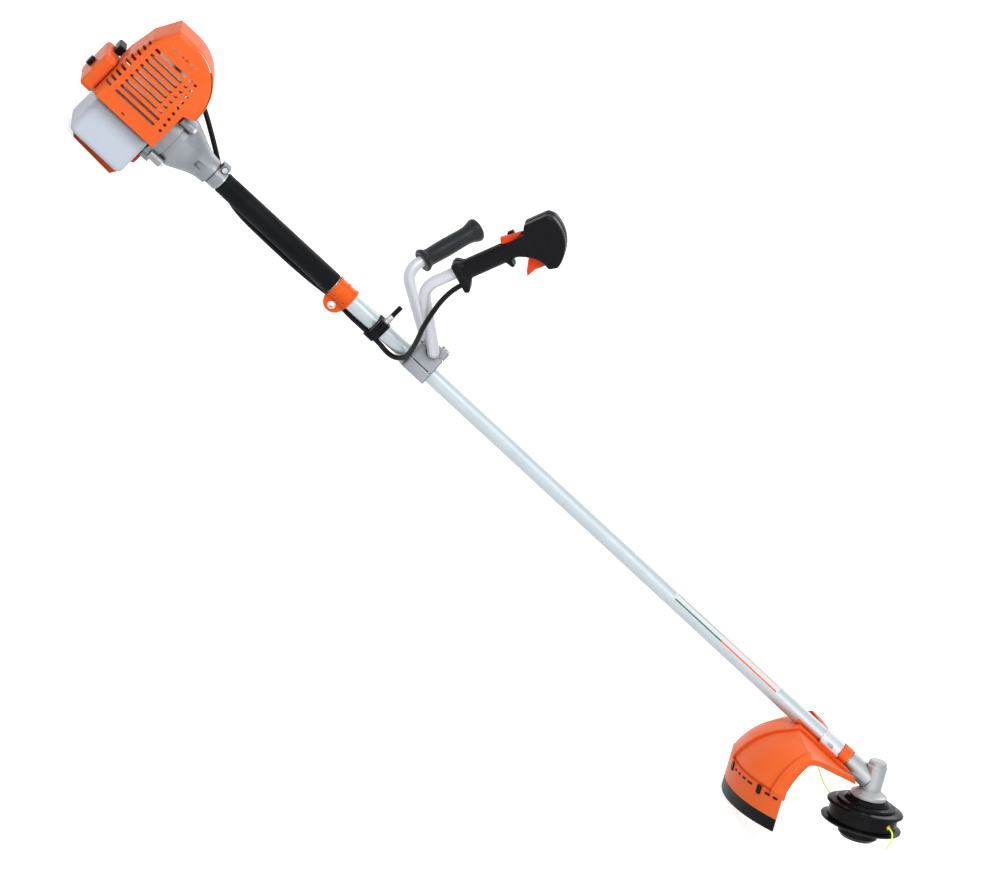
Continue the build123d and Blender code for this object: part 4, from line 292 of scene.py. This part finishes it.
BRUSHED_LENGTHWAYS = (0.05, 4, 4)
TURNED = (2, 30, 30)
# The crease colours below are painted shade in corners and grooves
METALS = {
    "shaft_silver": dict(
        colour=(0.56, 0.62, 0.65), shade=(0.53, 0.60, 0.63), rough=0.33, metallic=0.45,
        stretch=BRUSHED_LENGTHWAYS, grain=120, grain_depth=0.02,
    ),
    "bar_silver": dict(
        colour=(0.68, 0.69, 0.74), shade=(0.63, 0.65, 0.70), rough=0.36, metallic=0.3,
        grain=500, grain_depth=0.03,
    ),
    "cast_grey": dict(
        colour=(0.32, 0.34, 0.36), shade=(0.23, 0.25, 0.27), rough=0.42, metallic=0.6,
        grain=620, grain_depth=0.4, crease_shade=(0.09, 0.09, 0.10),
    ),
    "machined_steel": dict(
        colour=(0.62, 0.63, 0.65), shade=(0.48, 0.49, 0.52), rough=0.28,
        stretch=TURNED, grain=90, grain_depth=0.05,
    ),
    "light_alloy": dict(
        colour=(0.26, 0.26, 0.27), shade=(0.18, 0.18, 0.19), rough=0.42, metallic=0.9,
        grain=420, grain_depth=0.2, crease_shade=(0.03, 0.03, 0.03),
    ),
    "muffler_steel": dict(
        colour=(0.46, 0.38, 0.35), shade=(0.30, 0.24, 0.22), rough=0.3,
        grain=260, grain_depth=0.2, stain=(0.36, 0.22, 0.16),
    ),
    "plate_white": dict(
        colour=(0.70, 0.72, 0.76), shade=(0.62, 0.64, 0.69), rough=0.34, metallic=0.35,
        grain=400, grain_depth=0.06,
    ),
    "eyelet_brass": dict(
        colour=(0.70, 0.32, 0.05), shade=(0.60, 0.26, 0.04), rough=0.3, grain_depth=0.06,
    ),
}
PLASTICS = {
    "orange_plastic": dict(
        colour=(1.0, 0.162, 0.032), shade=(0.96, 0.142, 0.026), rough=0.34,
        grain=1100, grain_depth=0.05, worn=0.06, edge=0.9 * MM, coat=0.03, mirror=0.1,
        crease_shade=(0.50, 0.035, 0.003),
    ),
    "clamp_orange": dict(
        colour=(0.95, 0.125, 0.006), shade=(0.89, 0.105, 0.004), rough=0.34,
        grain=1000, grain_depth=0.06, mirror=0.2,
    ),
    "trigger_orange": dict(
        colour=(0.92, 0.055, 0.003), shade=(0.86, 0.048, 0.002), rough=0.34,
        grain=1000, grain_depth=0.06, mirror=0.2,
    ),
    "tank_white": dict(
        colour=(0.64, 0.71, 0.80), shade=(0.60, 0.68, 0.78), rough=0.4,
        grain=700, grain_depth=0.06, worn=0.08, edge=1.2 * MM,
    ),
    "black_plastic": dict(
        colour=(0.004, 0.004, 0.006), shade=(0.006, 0.007, 0.009), rough=0.36,
        grain=1500, grain_depth=0.16, worn=0.02, edge=0.8 * MM, coat=0.03, mirror=0.08,
    ),
    "head_black": dict(
        colour=(0.003, 0.003, 0.004), shade=(0.005, 0.005, 0.006), rough=0.2,
        grain=1200, grain_depth=0.03, worn=0.02, edge=0.8 * MM, coat=0.15, mirror=0.04,
    ),
    "foam_black": dict(
        colour=(0.005, 0.006, 0.008), shade=(0.008, 0.010, 0.012), rough=0.5,
        grain=1600, grain_depth=0.3, worn=0.02, sheen=0.04, mirror=0.06,
    ),
    "grip_rubber": dict(
        colour=(0.009, 0.011, 0.014), shade=(0.013, 0.016, 0.020), rough=0.4,
        grain=1500, grain_depth=0.2, worn=0.02, sheen=0.1, mirror=0.2,
    ),
    "conduit_sleeve": dict(
        colour=(0.004, 0.004, 0.006), shade=(0.006, 0.006, 0.008), rough=0.38,
        grain=1300, grain_depth=0.15, worn=0.02, mirror=0.14,
    ),
    # The line's glow is painted light: an emission in its own colour that brightens the thin line
    "line_green": dict(
        colour=(0.66, 0.95, 0.03), shade=(0.60, 0.90, 0.02), rough=0.3,
        grain_depth=0.03, edge=0.2 * MM, mirror=0.3, glow=0.6,
    ),
    "plug_ceramic": dict(
        colour=(0.70, 0.69, 0.64), shade=(0.66, 0.64, 0.60), rough=0.25,
        grain=600, grain_depth=0.03, edge=0.5 * MM, coat=0.3,
    ),
}
finishes = {name: metal(name, **recipe) for name, recipe in METALS.items()}
finishes.update({name: moulded(name, **recipe) for name, recipe in PLASTICS.items()})


def dress(node, finish):
    nodes[node].data.materials.clear()
    nodes[node].data.materials.append(finish)


for node_name, slot_name in slot_of.items():
    dress(node_name, finishes[slot_name])

# The gear case gets a paler copy of the cast metal finish than the engine's castings

cast_bright = metal(
    "cast_bright", (0.50, 0.51, 0.52), (0.41, 0.42, 0.43), 0.36, metallic=0.6,
    grain=620, grain_depth=0.3, crease_shade=(0.10, 0.10, 0.11),
)
dress("gear_case", cast_bright)

# The guard's own material: painted shade on the side panel where it falls away beside the front
# flange

HEAD_ORIGIN = Vector((1.14062, 0, 0.0778988))
HEAD_REAR = Vector((-0.860262, 0, -0.509852))
HEAD_NEAR = Vector((0, -1, 0))
HEAD_UP = Vector((-0.509852, 0, 0.860262))
FLANGE_ANGLE = radians(45)
SHADE_WIDTH = radians(3.2)
SHADE_DEPTH = 0.8
SHADE_ORANGE = (0.55, 0.045, 0.004)


def guard_with_painted_shade():
    material = finishes["orange_plastic"].copy()
    material.name = "guard_orange_painted_shade"
    tree = material.node_tree
    colour = tree.nodes["Principled BSDF"].inputs["Base Color"]
    offset = tree.nodes.new("ShaderNodeVectorMath")
    offset.operation = "SUBTRACT"
    offset.inputs[1].default_value = HEAD_ORIGIN
    place = tree.nodes.new("ShaderNodeTexCoord")
    tree.links.new(place.outputs["Object"], offset.inputs[0])
    rearward = dot_with(tree, offset.outputs["Vector"], HEAD_REAR)
    sideways = calculated(tree, "ABSOLUTE", dot_with(tree, offset.outputs["Vector"], HEAD_NEAR))
    turn = calculated(tree, "ARCTAN2", sideways, rearward)
    shade = spread(tree, turn, FLANGE_ANGLE - SHADE_WIDTH, FLANGE_ANGLE, 0, SHADE_DEPTH)
    before = calculated(tree, "LESS_THAN", turn, FLANGE_ANGLE)
    share = calculated(tree, "MULTIPLY", shade, before)
    # Painted shade: the side panel darkened within a few degrees before the front flange
    shaded = mixed_colour(tree, share, colour.links[0].from_socket, SHADE_ORANGE)
    tree.links.new(shaded, colour)
    return material


dress("guard", guard_with_painted_shade())

# Pieces built from loops of points


def face_loops(mesh, loops):
    """Faces between each loop of points and the next."""
    for here, there in zip(loops, loops[1:]):
        count = len(here)
        for index in range(count):
            following = (index + 1) % count
            mesh.faces.new((here[index], here[following], there[following], there[index]))


def built_piece(name, mesh, finish, closed=True, smooth=True):
    if closed:
        bmesh.ops.recalc_face_normals(mesh, faces=mesh.faces)
    data = bpy.data.meshes.new(name)
    mesh.to_mesh(data)
    mesh.free()
    if smooth:
        data.polygons.foreach_set("use_smooth", [True] * len(data.polygons))
    data.materials.append(finish)
    piece = bpy.data.objects.new(name, data)
    scene.collection.objects.link(piece)
    return piece


# Black strips along the joint between the guard and its extension, on both sides, are painted
# shade for the slots' shaded insides:
# the places are degrees from the rear and the width of each slot in degrees

JOINT_R = 225.5
JOINT_LEVEL = -19.0
SLOT_HALF_HEIGHT = 1.5
SLOT_INNER, SLOT_OUTER = 0.2, 0.7
SLOT_CORNERS = ((SLOT_INNER, -1), (SLOT_OUTER, -1), (SLOT_OUTER, 1), (SLOT_INNER, 1))
SLOT_PLACES = ((17.5, 1.8), (22.0, 1.8), (26.5, 2.4), (31.5, 3.2), (43.5, 2.8), (48.0, 2.4))
SLOT_STEPS = 4


def joint_point(angle, rise, height):
    outward = HEAD_REAR * cos(angle) + HEAD_NEAR * sin(angle)
    return HEAD_ORIGIN + (outward * (JOINT_R + rise) + HEAD_UP * height) * MM


def slot_loop(mesh, angle):
    heights = [(rise, JOINT_LEVEL + part * SLOT_HALF_HEIGHT) for rise, part in SLOT_CORNERS]
    return [mesh.verts.new(joint_point(angle, rise, height)) for rise, height in heights]


joint_mesh = bmesh.new()
for middle, width in SLOT_PLACES:
    for way in (-1, 1):
        turns = [middle + width * (step / SLOT_STEPS - 0.5) for step in range(SLOT_STEPS + 1)]
        loops = [slot_loop(joint_mesh, radians(way * turn)) for turn in turns]
        face_loops(joint_mesh, loops)
        joint_mesh.faces.new(loops[0])
        joint_mesh.faces.new(loops[-1])
# Painted shade: black plastic strips in place of the slots' shaded insides
slot_shade_strips = built_piece(
    "guard_joint_slot_shade", joint_mesh, finishes["black_plastic"], smooth=False
)
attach(slot_shade_strips, "frame")

# Cords: the throttle's sleeve and the two free line ends

CORD_STEPS = 12
CORD_ROUNDNESS = 6


def cord_curve(name, route, radius, slot, body, node):
    curve = bpy.data.curves.new(name, "CURVE")
    curve.dimensions = "3D"
    spline = curve.splines.new("NURBS")
    spline.points.add(len(route) - 1)
    for spot, place in zip(spline.points, route):
        spot.co = (*place, 1)
    spline.order_u = 3
    spline.use_endpoint_u = True
    spline.resolution_u = CORD_STEPS
    curve.bevel_depth = radius
    curve.bevel_resolution = CORD_ROUNDNESS
    curve.use_fill_caps = True
    piece = bpy.data.objects.new(name, curve)
    scene.collection.objects.link(piece)
    curve.materials.append(finishes[slot])
    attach(piece, body)
    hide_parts(node)
    return piece


CONDUIT_R = 4.2 * MM
CONDUIT_ROUTE = [
    (0.1002, -0.0977, 0.1899),
    (0.0928, -0.0942, 0.1653),
    (0.1064, -0.0880, 0.1020),
    (0.1229, -0.0640, 0.0688),
    (0.1331, -0.0420, 0.0432),
    (0.1349, -0.0270, 0.0273),
    (0.1284, -0.0150, 0.0150),
    (0.1147, -0.0050, 0.0093),
    (0.0946, 0.0000, 0.0108),
    (0.0556, 0.0000, 0.0090),
    (0.0298, 0.0100, 0.0054),
    (-0.0003, 0.0200, 0.0060),
    (-0.0401, 0.0130, 0.0011),
    (-0.0900, 0.0050, -0.0015),
    (-0.1500, 0.0055, -0.0042),
    (-0.2050, 0.0080, -0.0058),
    (-0.2403, 0.0200, -0.0001),
    (-0.2629, 0.0280, 0.0128),
    (-0.2876, 0.0300, 0.0287),
    (-0.3175, 0.0310, 0.0463),
    (-0.3483, 0.0360, 0.0629),
    (-0.3697, 0.0460, 0.0715),
    (-0.3870, 0.0535, 0.0767),
    (-0.4040, 0.0540, 0.0764),
]
conduit = cord_curve(
    "throttle_sleeve", CONDUIT_ROUTE, CONDUIT_R, "conduit_sleeve", "frame", "throttle_conduit"
)

LINE_R = 1.2 * MM
LONG_ROUTE = [
    (1.1349, 0.0367, 0.0129),
    (1.1265, 0.0458, 0.0085),
    (1.1140, 0.0594, 0.0063),
    (1.1007, 0.0727, 0.0077),
    (1.0868, 0.0848, 0.0135),
    (1.0731, 0.0966, 0.0182),
    (1.0604, 0.1076, 0.0199),
]
long_line = cord_curve("line_end_long", LONG_ROUTE, LINE_R, "line_green", "head", "line_long")

SHORT_ROUTE = [
    (1.2004, -0.0367, 0.0517),
    (1.2035, -0.0403, 0.0536),
    (1.2092, -0.0463, 0.0546),
    (1.2142, -0.0518, 0.0518),
    (1.2186, -0.0553, 0.0457),
    (1.2212, -0.0562, 0.0379),
    (1.2218, -0.0548, 0.0295),
]
short_line = cord_curve("line_end_short", SHORT_ROUTE, LINE_R, "line_green", "head", "line_short")

# Moulded pieces remade with soft edges, over the solids they stand for


def softened(node, voxel, rounds, finish=None):
    """A copy of a solid with rounded edges: remeshed finely, then relaxed some rounds."""
    piece = bpy.data.objects.new(node + "_soft", nodes[node].data.copy())
    scene.collection.objects.link(piece)
    grid = piece.modifiers.new("grid", "REMESH")
    grid.mode = "VOXEL"
    grid.voxel_size = voxel
    relax = piece.modifiers.new("relax", "SMOOTH")
    relax.factor = 0.5
    relax.iterations = rounds
    shown = piece.evaluated_get(bpy.context.evaluated_depsgraph_get())
    made = bpy.data.meshes.new_from_object(shown)
    piece.modifiers.clear()
    piece.data = made
    made.polygons.foreach_set("use_smooth", [True] * len(made.polygons))
    made.materials.clear()
    made.materials.append(finish or finishes[slot_of[node]])
    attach(piece, nodes[node]["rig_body"])
    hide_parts(node)
    return piece


# The throttle handle: its own directions, and places along it in millimetres

handle_black = moulded(
    "handle_black", (0.003, 0.003, 0.004), (0.005, 0.005, 0.007), 0.3, grain=1500, worn=0.01,
    edge=5 * MM, coat=0.1, mirror=0.06,
)
HANDLE_BASE = Vector((0.0615146, -0.0908746, 0.141486))
HANDLE_FORWARD = Vector((0.95764, 0.048147, -0.283913))
HANDLE_ALONG = Vector((0.287888, -0.137044, 0.947808))
HANDLE_OUT = Vector((0.006726, -0.989394, -0.1451))
HANDLE_VOXEL, HANDLE_ROUNDS = 1.0 * MM, 40
BARREL_MIDDLE = 2.5
BARREL_WIDE, BARREL_DEEP = 15.75, 15.0
BARREL_STARTS = (70.0, 82.0)
BARREL_ENDS = (150.0, 176.0)
BARREL_ROUNDING = 0.9
RIM_BETWEEN = (0.7, 0.9)
COLLAR_MIDDLE = 65.0
COLLAR_SPREAD = 6.0
COLLAR_SWELL = 3.0
SMALLEST_RING = 1e-6


def eased(value, start, end):
    """0 before the start, 1 after the end and a smooth climb between."""
    share = min(1.0, max(0.0, (value - start) / (end - start)))
    return share * share * (3 - 2 * share)


def round_barrel(mesh):
    """Turn the handle's square barrel round and swell the collar at its lower end."""
    for vertex in mesh.vertices:
        offset = (vertex.co - HANDLE_BASE) / MM
        along = offset.dot(HANDLE_ALONG)
        wide = (offset.dot(HANDLE_FORWARD) - BARREL_MIDDLE) / BARREL_WIDE
        deep = offset.dot(HANDLE_OUT) / BARREL_DEEP
        square = max(abs(wide), abs(deep))
        ring = max(SMALLEST_RING, (wide * wide + deep * deep) ** 0.5)
        rim = eased(square, *RIM_BETWEEN)
        on_barrel = eased(along, *BARREL_STARTS) * (1 - eased(along, *BARREL_ENDS))
        pull = on_barrel * rim * BARREL_ROUNDING * (1 - square / ring)
        from_collar = (along - COLLAR_MIDDLE) / COLLAR_SPREAD
        swell = COLLAR_SWELL * exp(-from_collar * from_collar) * rim / ring
        move_forward = wide * (swell - pull * BARREL_WIDE)
        move_out = deep * (swell - pull * BARREL_DEEP)
        vertex.co += (HANDLE_FORWARD * move_forward + HANDLE_OUT * move_out) * MM


for shell in ("throttle_shell_right", "throttle_shell_left"):
    round_barrel(softened(shell, HANDLE_VOXEL, HANDLE_ROUNDS, handle_black).data)

SOFT_PIECES = (
    ("starter_housing", 1.3 * MM, 14),
    ("fuel_tank", 1.5 * MM, 30),
    ("clamp_body", 1.2 * MM, 4),
    ("clamp_cap", 1.2 * MM, 4),
    ("clamp_lower", 1.2 * MM, 4),
)
for node_name, voxel_size, relax_rounds in SOFT_PIECES:
    softened(node_name, voxel_size, relax_rounds)

# Rubber pieces turned about an axis: the hip sleeve on the shaft and the left hand's grip

TURN_STEPS = 72


def turned_piece(name, base, axis, profile, slot, body, node):
    """A closed ring of the profile's (radius, distance along the axis) points, in millimetres."""
    side_way = axis.orthogonal().normalized()
    other_way = axis.cross(side_way)
    mesh = bmesh.new()
    rings = []
    for step in range(TURN_STEPS):
        turn = 2 * pi * step / TURN_STEPS
        outward = side_way * cos(turn) + other_way * sin(turn)
        rings.append([mesh.verts.new(base + (outward * r + axis * a) * MM) for r, a in profile])
    face_loops(mesh, rings + rings[:1])
    piece = built_piece(name, mesh, finishes[slot])
    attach(piece, body)
    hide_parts(node)


SLEEVE_REAR, SLEEVE_FRONT = -258.0, -20.0
SLEEVE_R, SLEEVE_BORE = 17.7, 14.1
SLEEVE_LIP = 1.2
GROOVE_DEPTH = 0.5
GROOVE_MOUTH, GROOVE_FLOOR = 1.0, 0.4
GROOVE_PLACES = (SLEEVE_REAR + 9, SLEEVE_REAR + 14, SLEEVE_FRONT - 14, SLEEVE_FRONT - 9)
sleeve_profile = [
    (SLEEVE_BORE, SLEEVE_REAR),
    (SLEEVE_R - SLEEVE_LIP, SLEEVE_REAR),
    (SLEEVE_R, SLEEVE_REAR + SLEEVE_LIP),
]
for spot in GROOVE_PLACES:
    sleeve_profile += [
        (SLEEVE_R, spot - GROOVE_MOUTH),
        (SLEEVE_R - GROOVE_DEPTH, spot - GROOVE_FLOOR),
        (SLEEVE_R - GROOVE_DEPTH, spot + GROOVE_FLOOR),
        (SLEEVE_R, spot + GROOVE_MOUTH),
    ]
sleeve_profile += [
    (SLEEVE_R, SLEEVE_FRONT - SLEEVE_LIP),
    (SLEEVE_R - SLEEVE_LIP, SLEEVE_FRONT),
    (SLEEVE_BORE, SLEEVE_FRONT),
]
turned_piece(
    "hip_sleeve_soft", AXIS_POINT, ALONG, sleeve_profile, "foam_black", "frame", "hip_sleeve"
)

# The grip's profile: its lower part from its start and its upper part from its top

GRIP_BASE = Vector((0.0636179, 0.128471, 0.0961106))
GRIP_AXIS = Vector((0.293963, 0.496495, 0.816749)).normalized()
GRIP_START, GRIP_TOP = 30.0, 140.0
GRIP_LOWER = (
    (9.6, 0), (17.4, 0), (18.6, 1), (19.0, 2.6), (18.4, 5.4), (16.4, 8),
    (14.6, 11.5), (14.0, 16), (14.5, 32), (14.8, 46), (14.5, 60),
)
GRIP_UPPER = (
    (14.0, -32), (14.3, -24), (15.6, -17), (17.8, -11), (18.9, -7.5), (19.0, -4.5),
    (17.6, -1.8), (15.4, -0.4), (13.0, 0), (0.2, 0), (0.2, -6), (9.6, -6),
)
grip_profile = [(r, GRIP_START + a) for r, a in GRIP_LOWER]
grip_profile += [(r, GRIP_TOP + a) for r, a in GRIP_UPPER]
turned_piece(
    "left_grip_soft", GRIP_BASE, GRIP_AXIS, grip_profile, "grip_rubber", "frame", "left_grip"
)

# Starter rope: hidden in the housing at rest

ROPE_X, ROPE_Y = -516.0, 18.0
ROPE_LOW, ROPE_HIGH = 19.0, 30.0
ROPE_R = 1.6
ROPE_RINGS = 16
ROPE_SIDES = 14
rope_foot = AXIS_POINT + (ALONG * ROPE_X + ACROSS * ROPE_Y + UP * ROPE_LOW) * MM
rope_head = rope_foot + UP * (ROPE_HIGH - ROPE_LOW) * MM
rope_turns = [2 * pi * side / ROPE_SIDES for side in range(ROPE_SIDES)]
rope_outline = [(ALONG * cos(turn) + ACROSS * sin(turn)) * ROPE_R * MM for turn in rope_turns]
rope_mesh = bmesh.new()
rope_loops = []
for ring in range(ROPE_RINGS + 1):
    centre = rope_foot.lerp(rope_head, ring / ROPE_RINGS)
    rope_loops.append([rope_mesh.verts.new(centre + outward) for outward in rope_outline])
face_loops(rope_mesh, rope_loops)
rope_mesh.faces.new(rope_loops[0])
rope_mesh.faces.new(rope_loops[-1])
rope = built_piece("starter_rope", rope_mesh, finishes["foam_black"])
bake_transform(rope)

# A bare film label on the shaft: a white field with green and orange rules

TUBE_R = 14.0
LABEL_STEPS = 10
LABEL_REAR, LABEL_JOIN, LABEL_FRONT = 712.0, 812.0, 930.0
LABEL_MARGIN = 3
FIELD_ANGLES, RULE_ANGLES, EDGE_ANGLES = (13, 68), (15, 25), (58, 62)
FIELD_LIFT, RULE_LIFT = 0.08, 0.16
FILM = dict(grain_depth=0.02, worn=0.03)
film_white = moulded("film_white", (0.80, 0.81, 0.82), (0.76, 0.78, 0.80), 0.3, **FILM)
film_green = moulded("film_green", (0.01, 0.13, 0.07), (0.012, 0.17, 0.09), 0.32, **FILM)
film_orange = moulded("film_orange", (0.92, 0.14, 0.02), (0.88, 0.12, 0.018), 0.32, **FILM)


def film(name, rear, front, angles, lift, finish):
    """A thin curved patch on the shaft; angles are degrees up from the near side."""
    low_angle, high_angle = angles
    mesh = bmesh.new()
    rows = []
    for step in range(LABEL_STEPS + 1):
        angle = radians(low_angle + (high_angle - low_angle) * step / LABEL_STEPS)
        outward = (ACROSS * -cos(angle) + UP * sin(angle)) * (TUBE_R + lift)
        ends = [AXIS_POINT + (ALONG * x + outward) * MM for x in (rear, front)]
        rows.append([mesh.verts.new(end) for end in ends])
    for below, above in zip(rows, rows[1:]):
        mesh.faces.new((below[0], below[1], above[1], above[0]))
    piece = built_piece(name, mesh, finish, closed=False)
    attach(piece, "frame")


film(
    "label_field", LABEL_REAR - LABEL_MARGIN, LABEL_FRONT + LABEL_MARGIN,
    FIELD_ANGLES, FIELD_LIFT, film_white,
)
for kind, rule_angles in (("rule", RULE_ANGLES), ("edge", EDGE_ANGLES)):
    film(f"label_{kind}_green", LABEL_REAR, LABEL_JOIN, rule_angles, RULE_LIFT, film_green)
    film(f"label_{kind}_orange", LABEL_JOIN, LABEL_FRONT, rule_angles, RULE_LIFT, film_orange)

# Studio: pale floor, soft lights and the camera, rolled as in the picture

FLOOR_HALF = 60.0
FLOOR_CORNERS = ((-1, -1), (1, -1), (1, 1), (-1, 1))
floor_mesh = bpy.data.meshes.new("floor")
floor_points = [(x * FLOOR_HALF, y * FLOOR_HALF, cad_low.z) for x, y in FLOOR_CORNERS]
floor_mesh.from_pydata(floor_points, [], [(0, 1, 2, 3)])
floor = bpy.data.objects.new("floor", floor_mesh)
scene.collection.objects.link(floor)


def seen_directly(tree):
    """1 for rays from the camera, off glossy things or through clear ones, 0 for other rays."""
    path = tree.nodes.new("ShaderNodeLightPath").outputs
    straight = calculated(tree, "MAXIMUM", path["Is Camera Ray"], path["Is Transmission Ray"])
    return calculated(tree, "MAXIMUM", straight, path["Is Glossy Ray"])


FLOOR_LIFT = 0.75
floor_paint, floor_tree, floor_shader = new_material("floor_paint")
floor_shader.inputs["Base Color"].default_value = (0.62, 0.62, 0.63, 1)
floor_shader.inputs["Roughness"].default_value = 0.9
floor_shader.inputs["Specular IOR Level"].default_value = 0.1
floor_shader.inputs["Emission Color"].default_value = (1, 1, 1, 1)
floor_glow = spread(floor_tree, seen_directly(floor_tree), 0, 1, 0, FLOOR_LIFT)
floor_tree.links.new(floor_glow, floor_shader.inputs["Emission Strength"])
floor_mesh.materials.append(floor_paint)

SKY_LIGHT = 0.5
world = bpy.data.worlds.new("studio")
world.use_nodes = True
scene.world = world
sky_tree = world.node_tree
sky = sky_tree.nodes["Background"]
sky.inputs["Color"].default_value = (0.96, 0.98, 1.0, 1)
sky_level = spread(sky_tree, seen_directly(sky_tree), 0, 1, SKY_LIGHT, 1)
sky_tree.links.new(sky_level, sky.inputs["Strength"])

# Lights round the middle of the object: name, place from there, size in metres, power in watts

MIDDLE = (cad_low + cad_high) / 2
LIGHTS = (
    ("key", Vector((-1.0, -2.5, 2.6)), 1.8, 72),
    ("fill", Vector((1.6, -2.8, 1.2)), 2.4, 20),
    ("rim", Vector((0.4, 2.4, 2.2)), 2.0, 22),
)
for light_name, place, size, power in LIGHTS:
    lamp = bpy.data.lights.new(light_name, "AREA")
    lamp.shape = "DISK"
    lamp.size = size
    lamp.energy = power
    holder = bpy.data.objects.new(light_name, lamp)
    holder.location = MIDDLE + place
    holder.rotation_euler = (-place).to_track_quat("-Z", "Y").to_euler()
    scene.collection.objects.link(holder)

# The camera looks from far away, so that the picture has almost no perspective. The view's
# level directions are given along the shaft, across it and up, before the roll.

CAMERA_ROLL = radians(42.74)
CAMERA_DISTANCE = 40.0
CAMERA_REACH = 200
SENSOR_WIDTH = 36
VIEW_WIDTH = 1556 * MM
VIEW_RIGHT, VIEW_UP = 330 * MM, 3.9 * MM
right = (ALONG * 0.9855 + ACROSS * -0.166 + UP * 0.0358).normalized()
upward = ACROSS * 0.211 + UP * 0.9775
upward = (upward - right * upward.dot(right)).normalized()
back = right.cross(upward)
picture_right = right * cos(CAMERA_ROLL) + upward * sin(CAMERA_ROLL)
picture_up = upward * cos(CAMERA_ROLL) - right * sin(CAMERA_ROLL)
lens = bpy.data.cameras.new("camera")
lens.sensor_width = SENSOR_WIDTH
lens.lens = SENSOR_WIDTH * CAMERA_DISTANCE / VIEW_WIDTH
lens.clip_end = CAMERA_REACH
camera = bpy.data.objects.new("camera", lens)
scene.collection.objects.link(camera)
target = AXIS_POINT + right * VIEW_RIGHT + upward * VIEW_UP
turned = Matrix((picture_right, picture_up, back)).transposed().to_4x4()
camera.matrix_world = Matrix.Translation(target + back * CAMERA_DISTANCE) @ turned
scene.camera = camera

scene.view_settings.view_transform = "Standard"
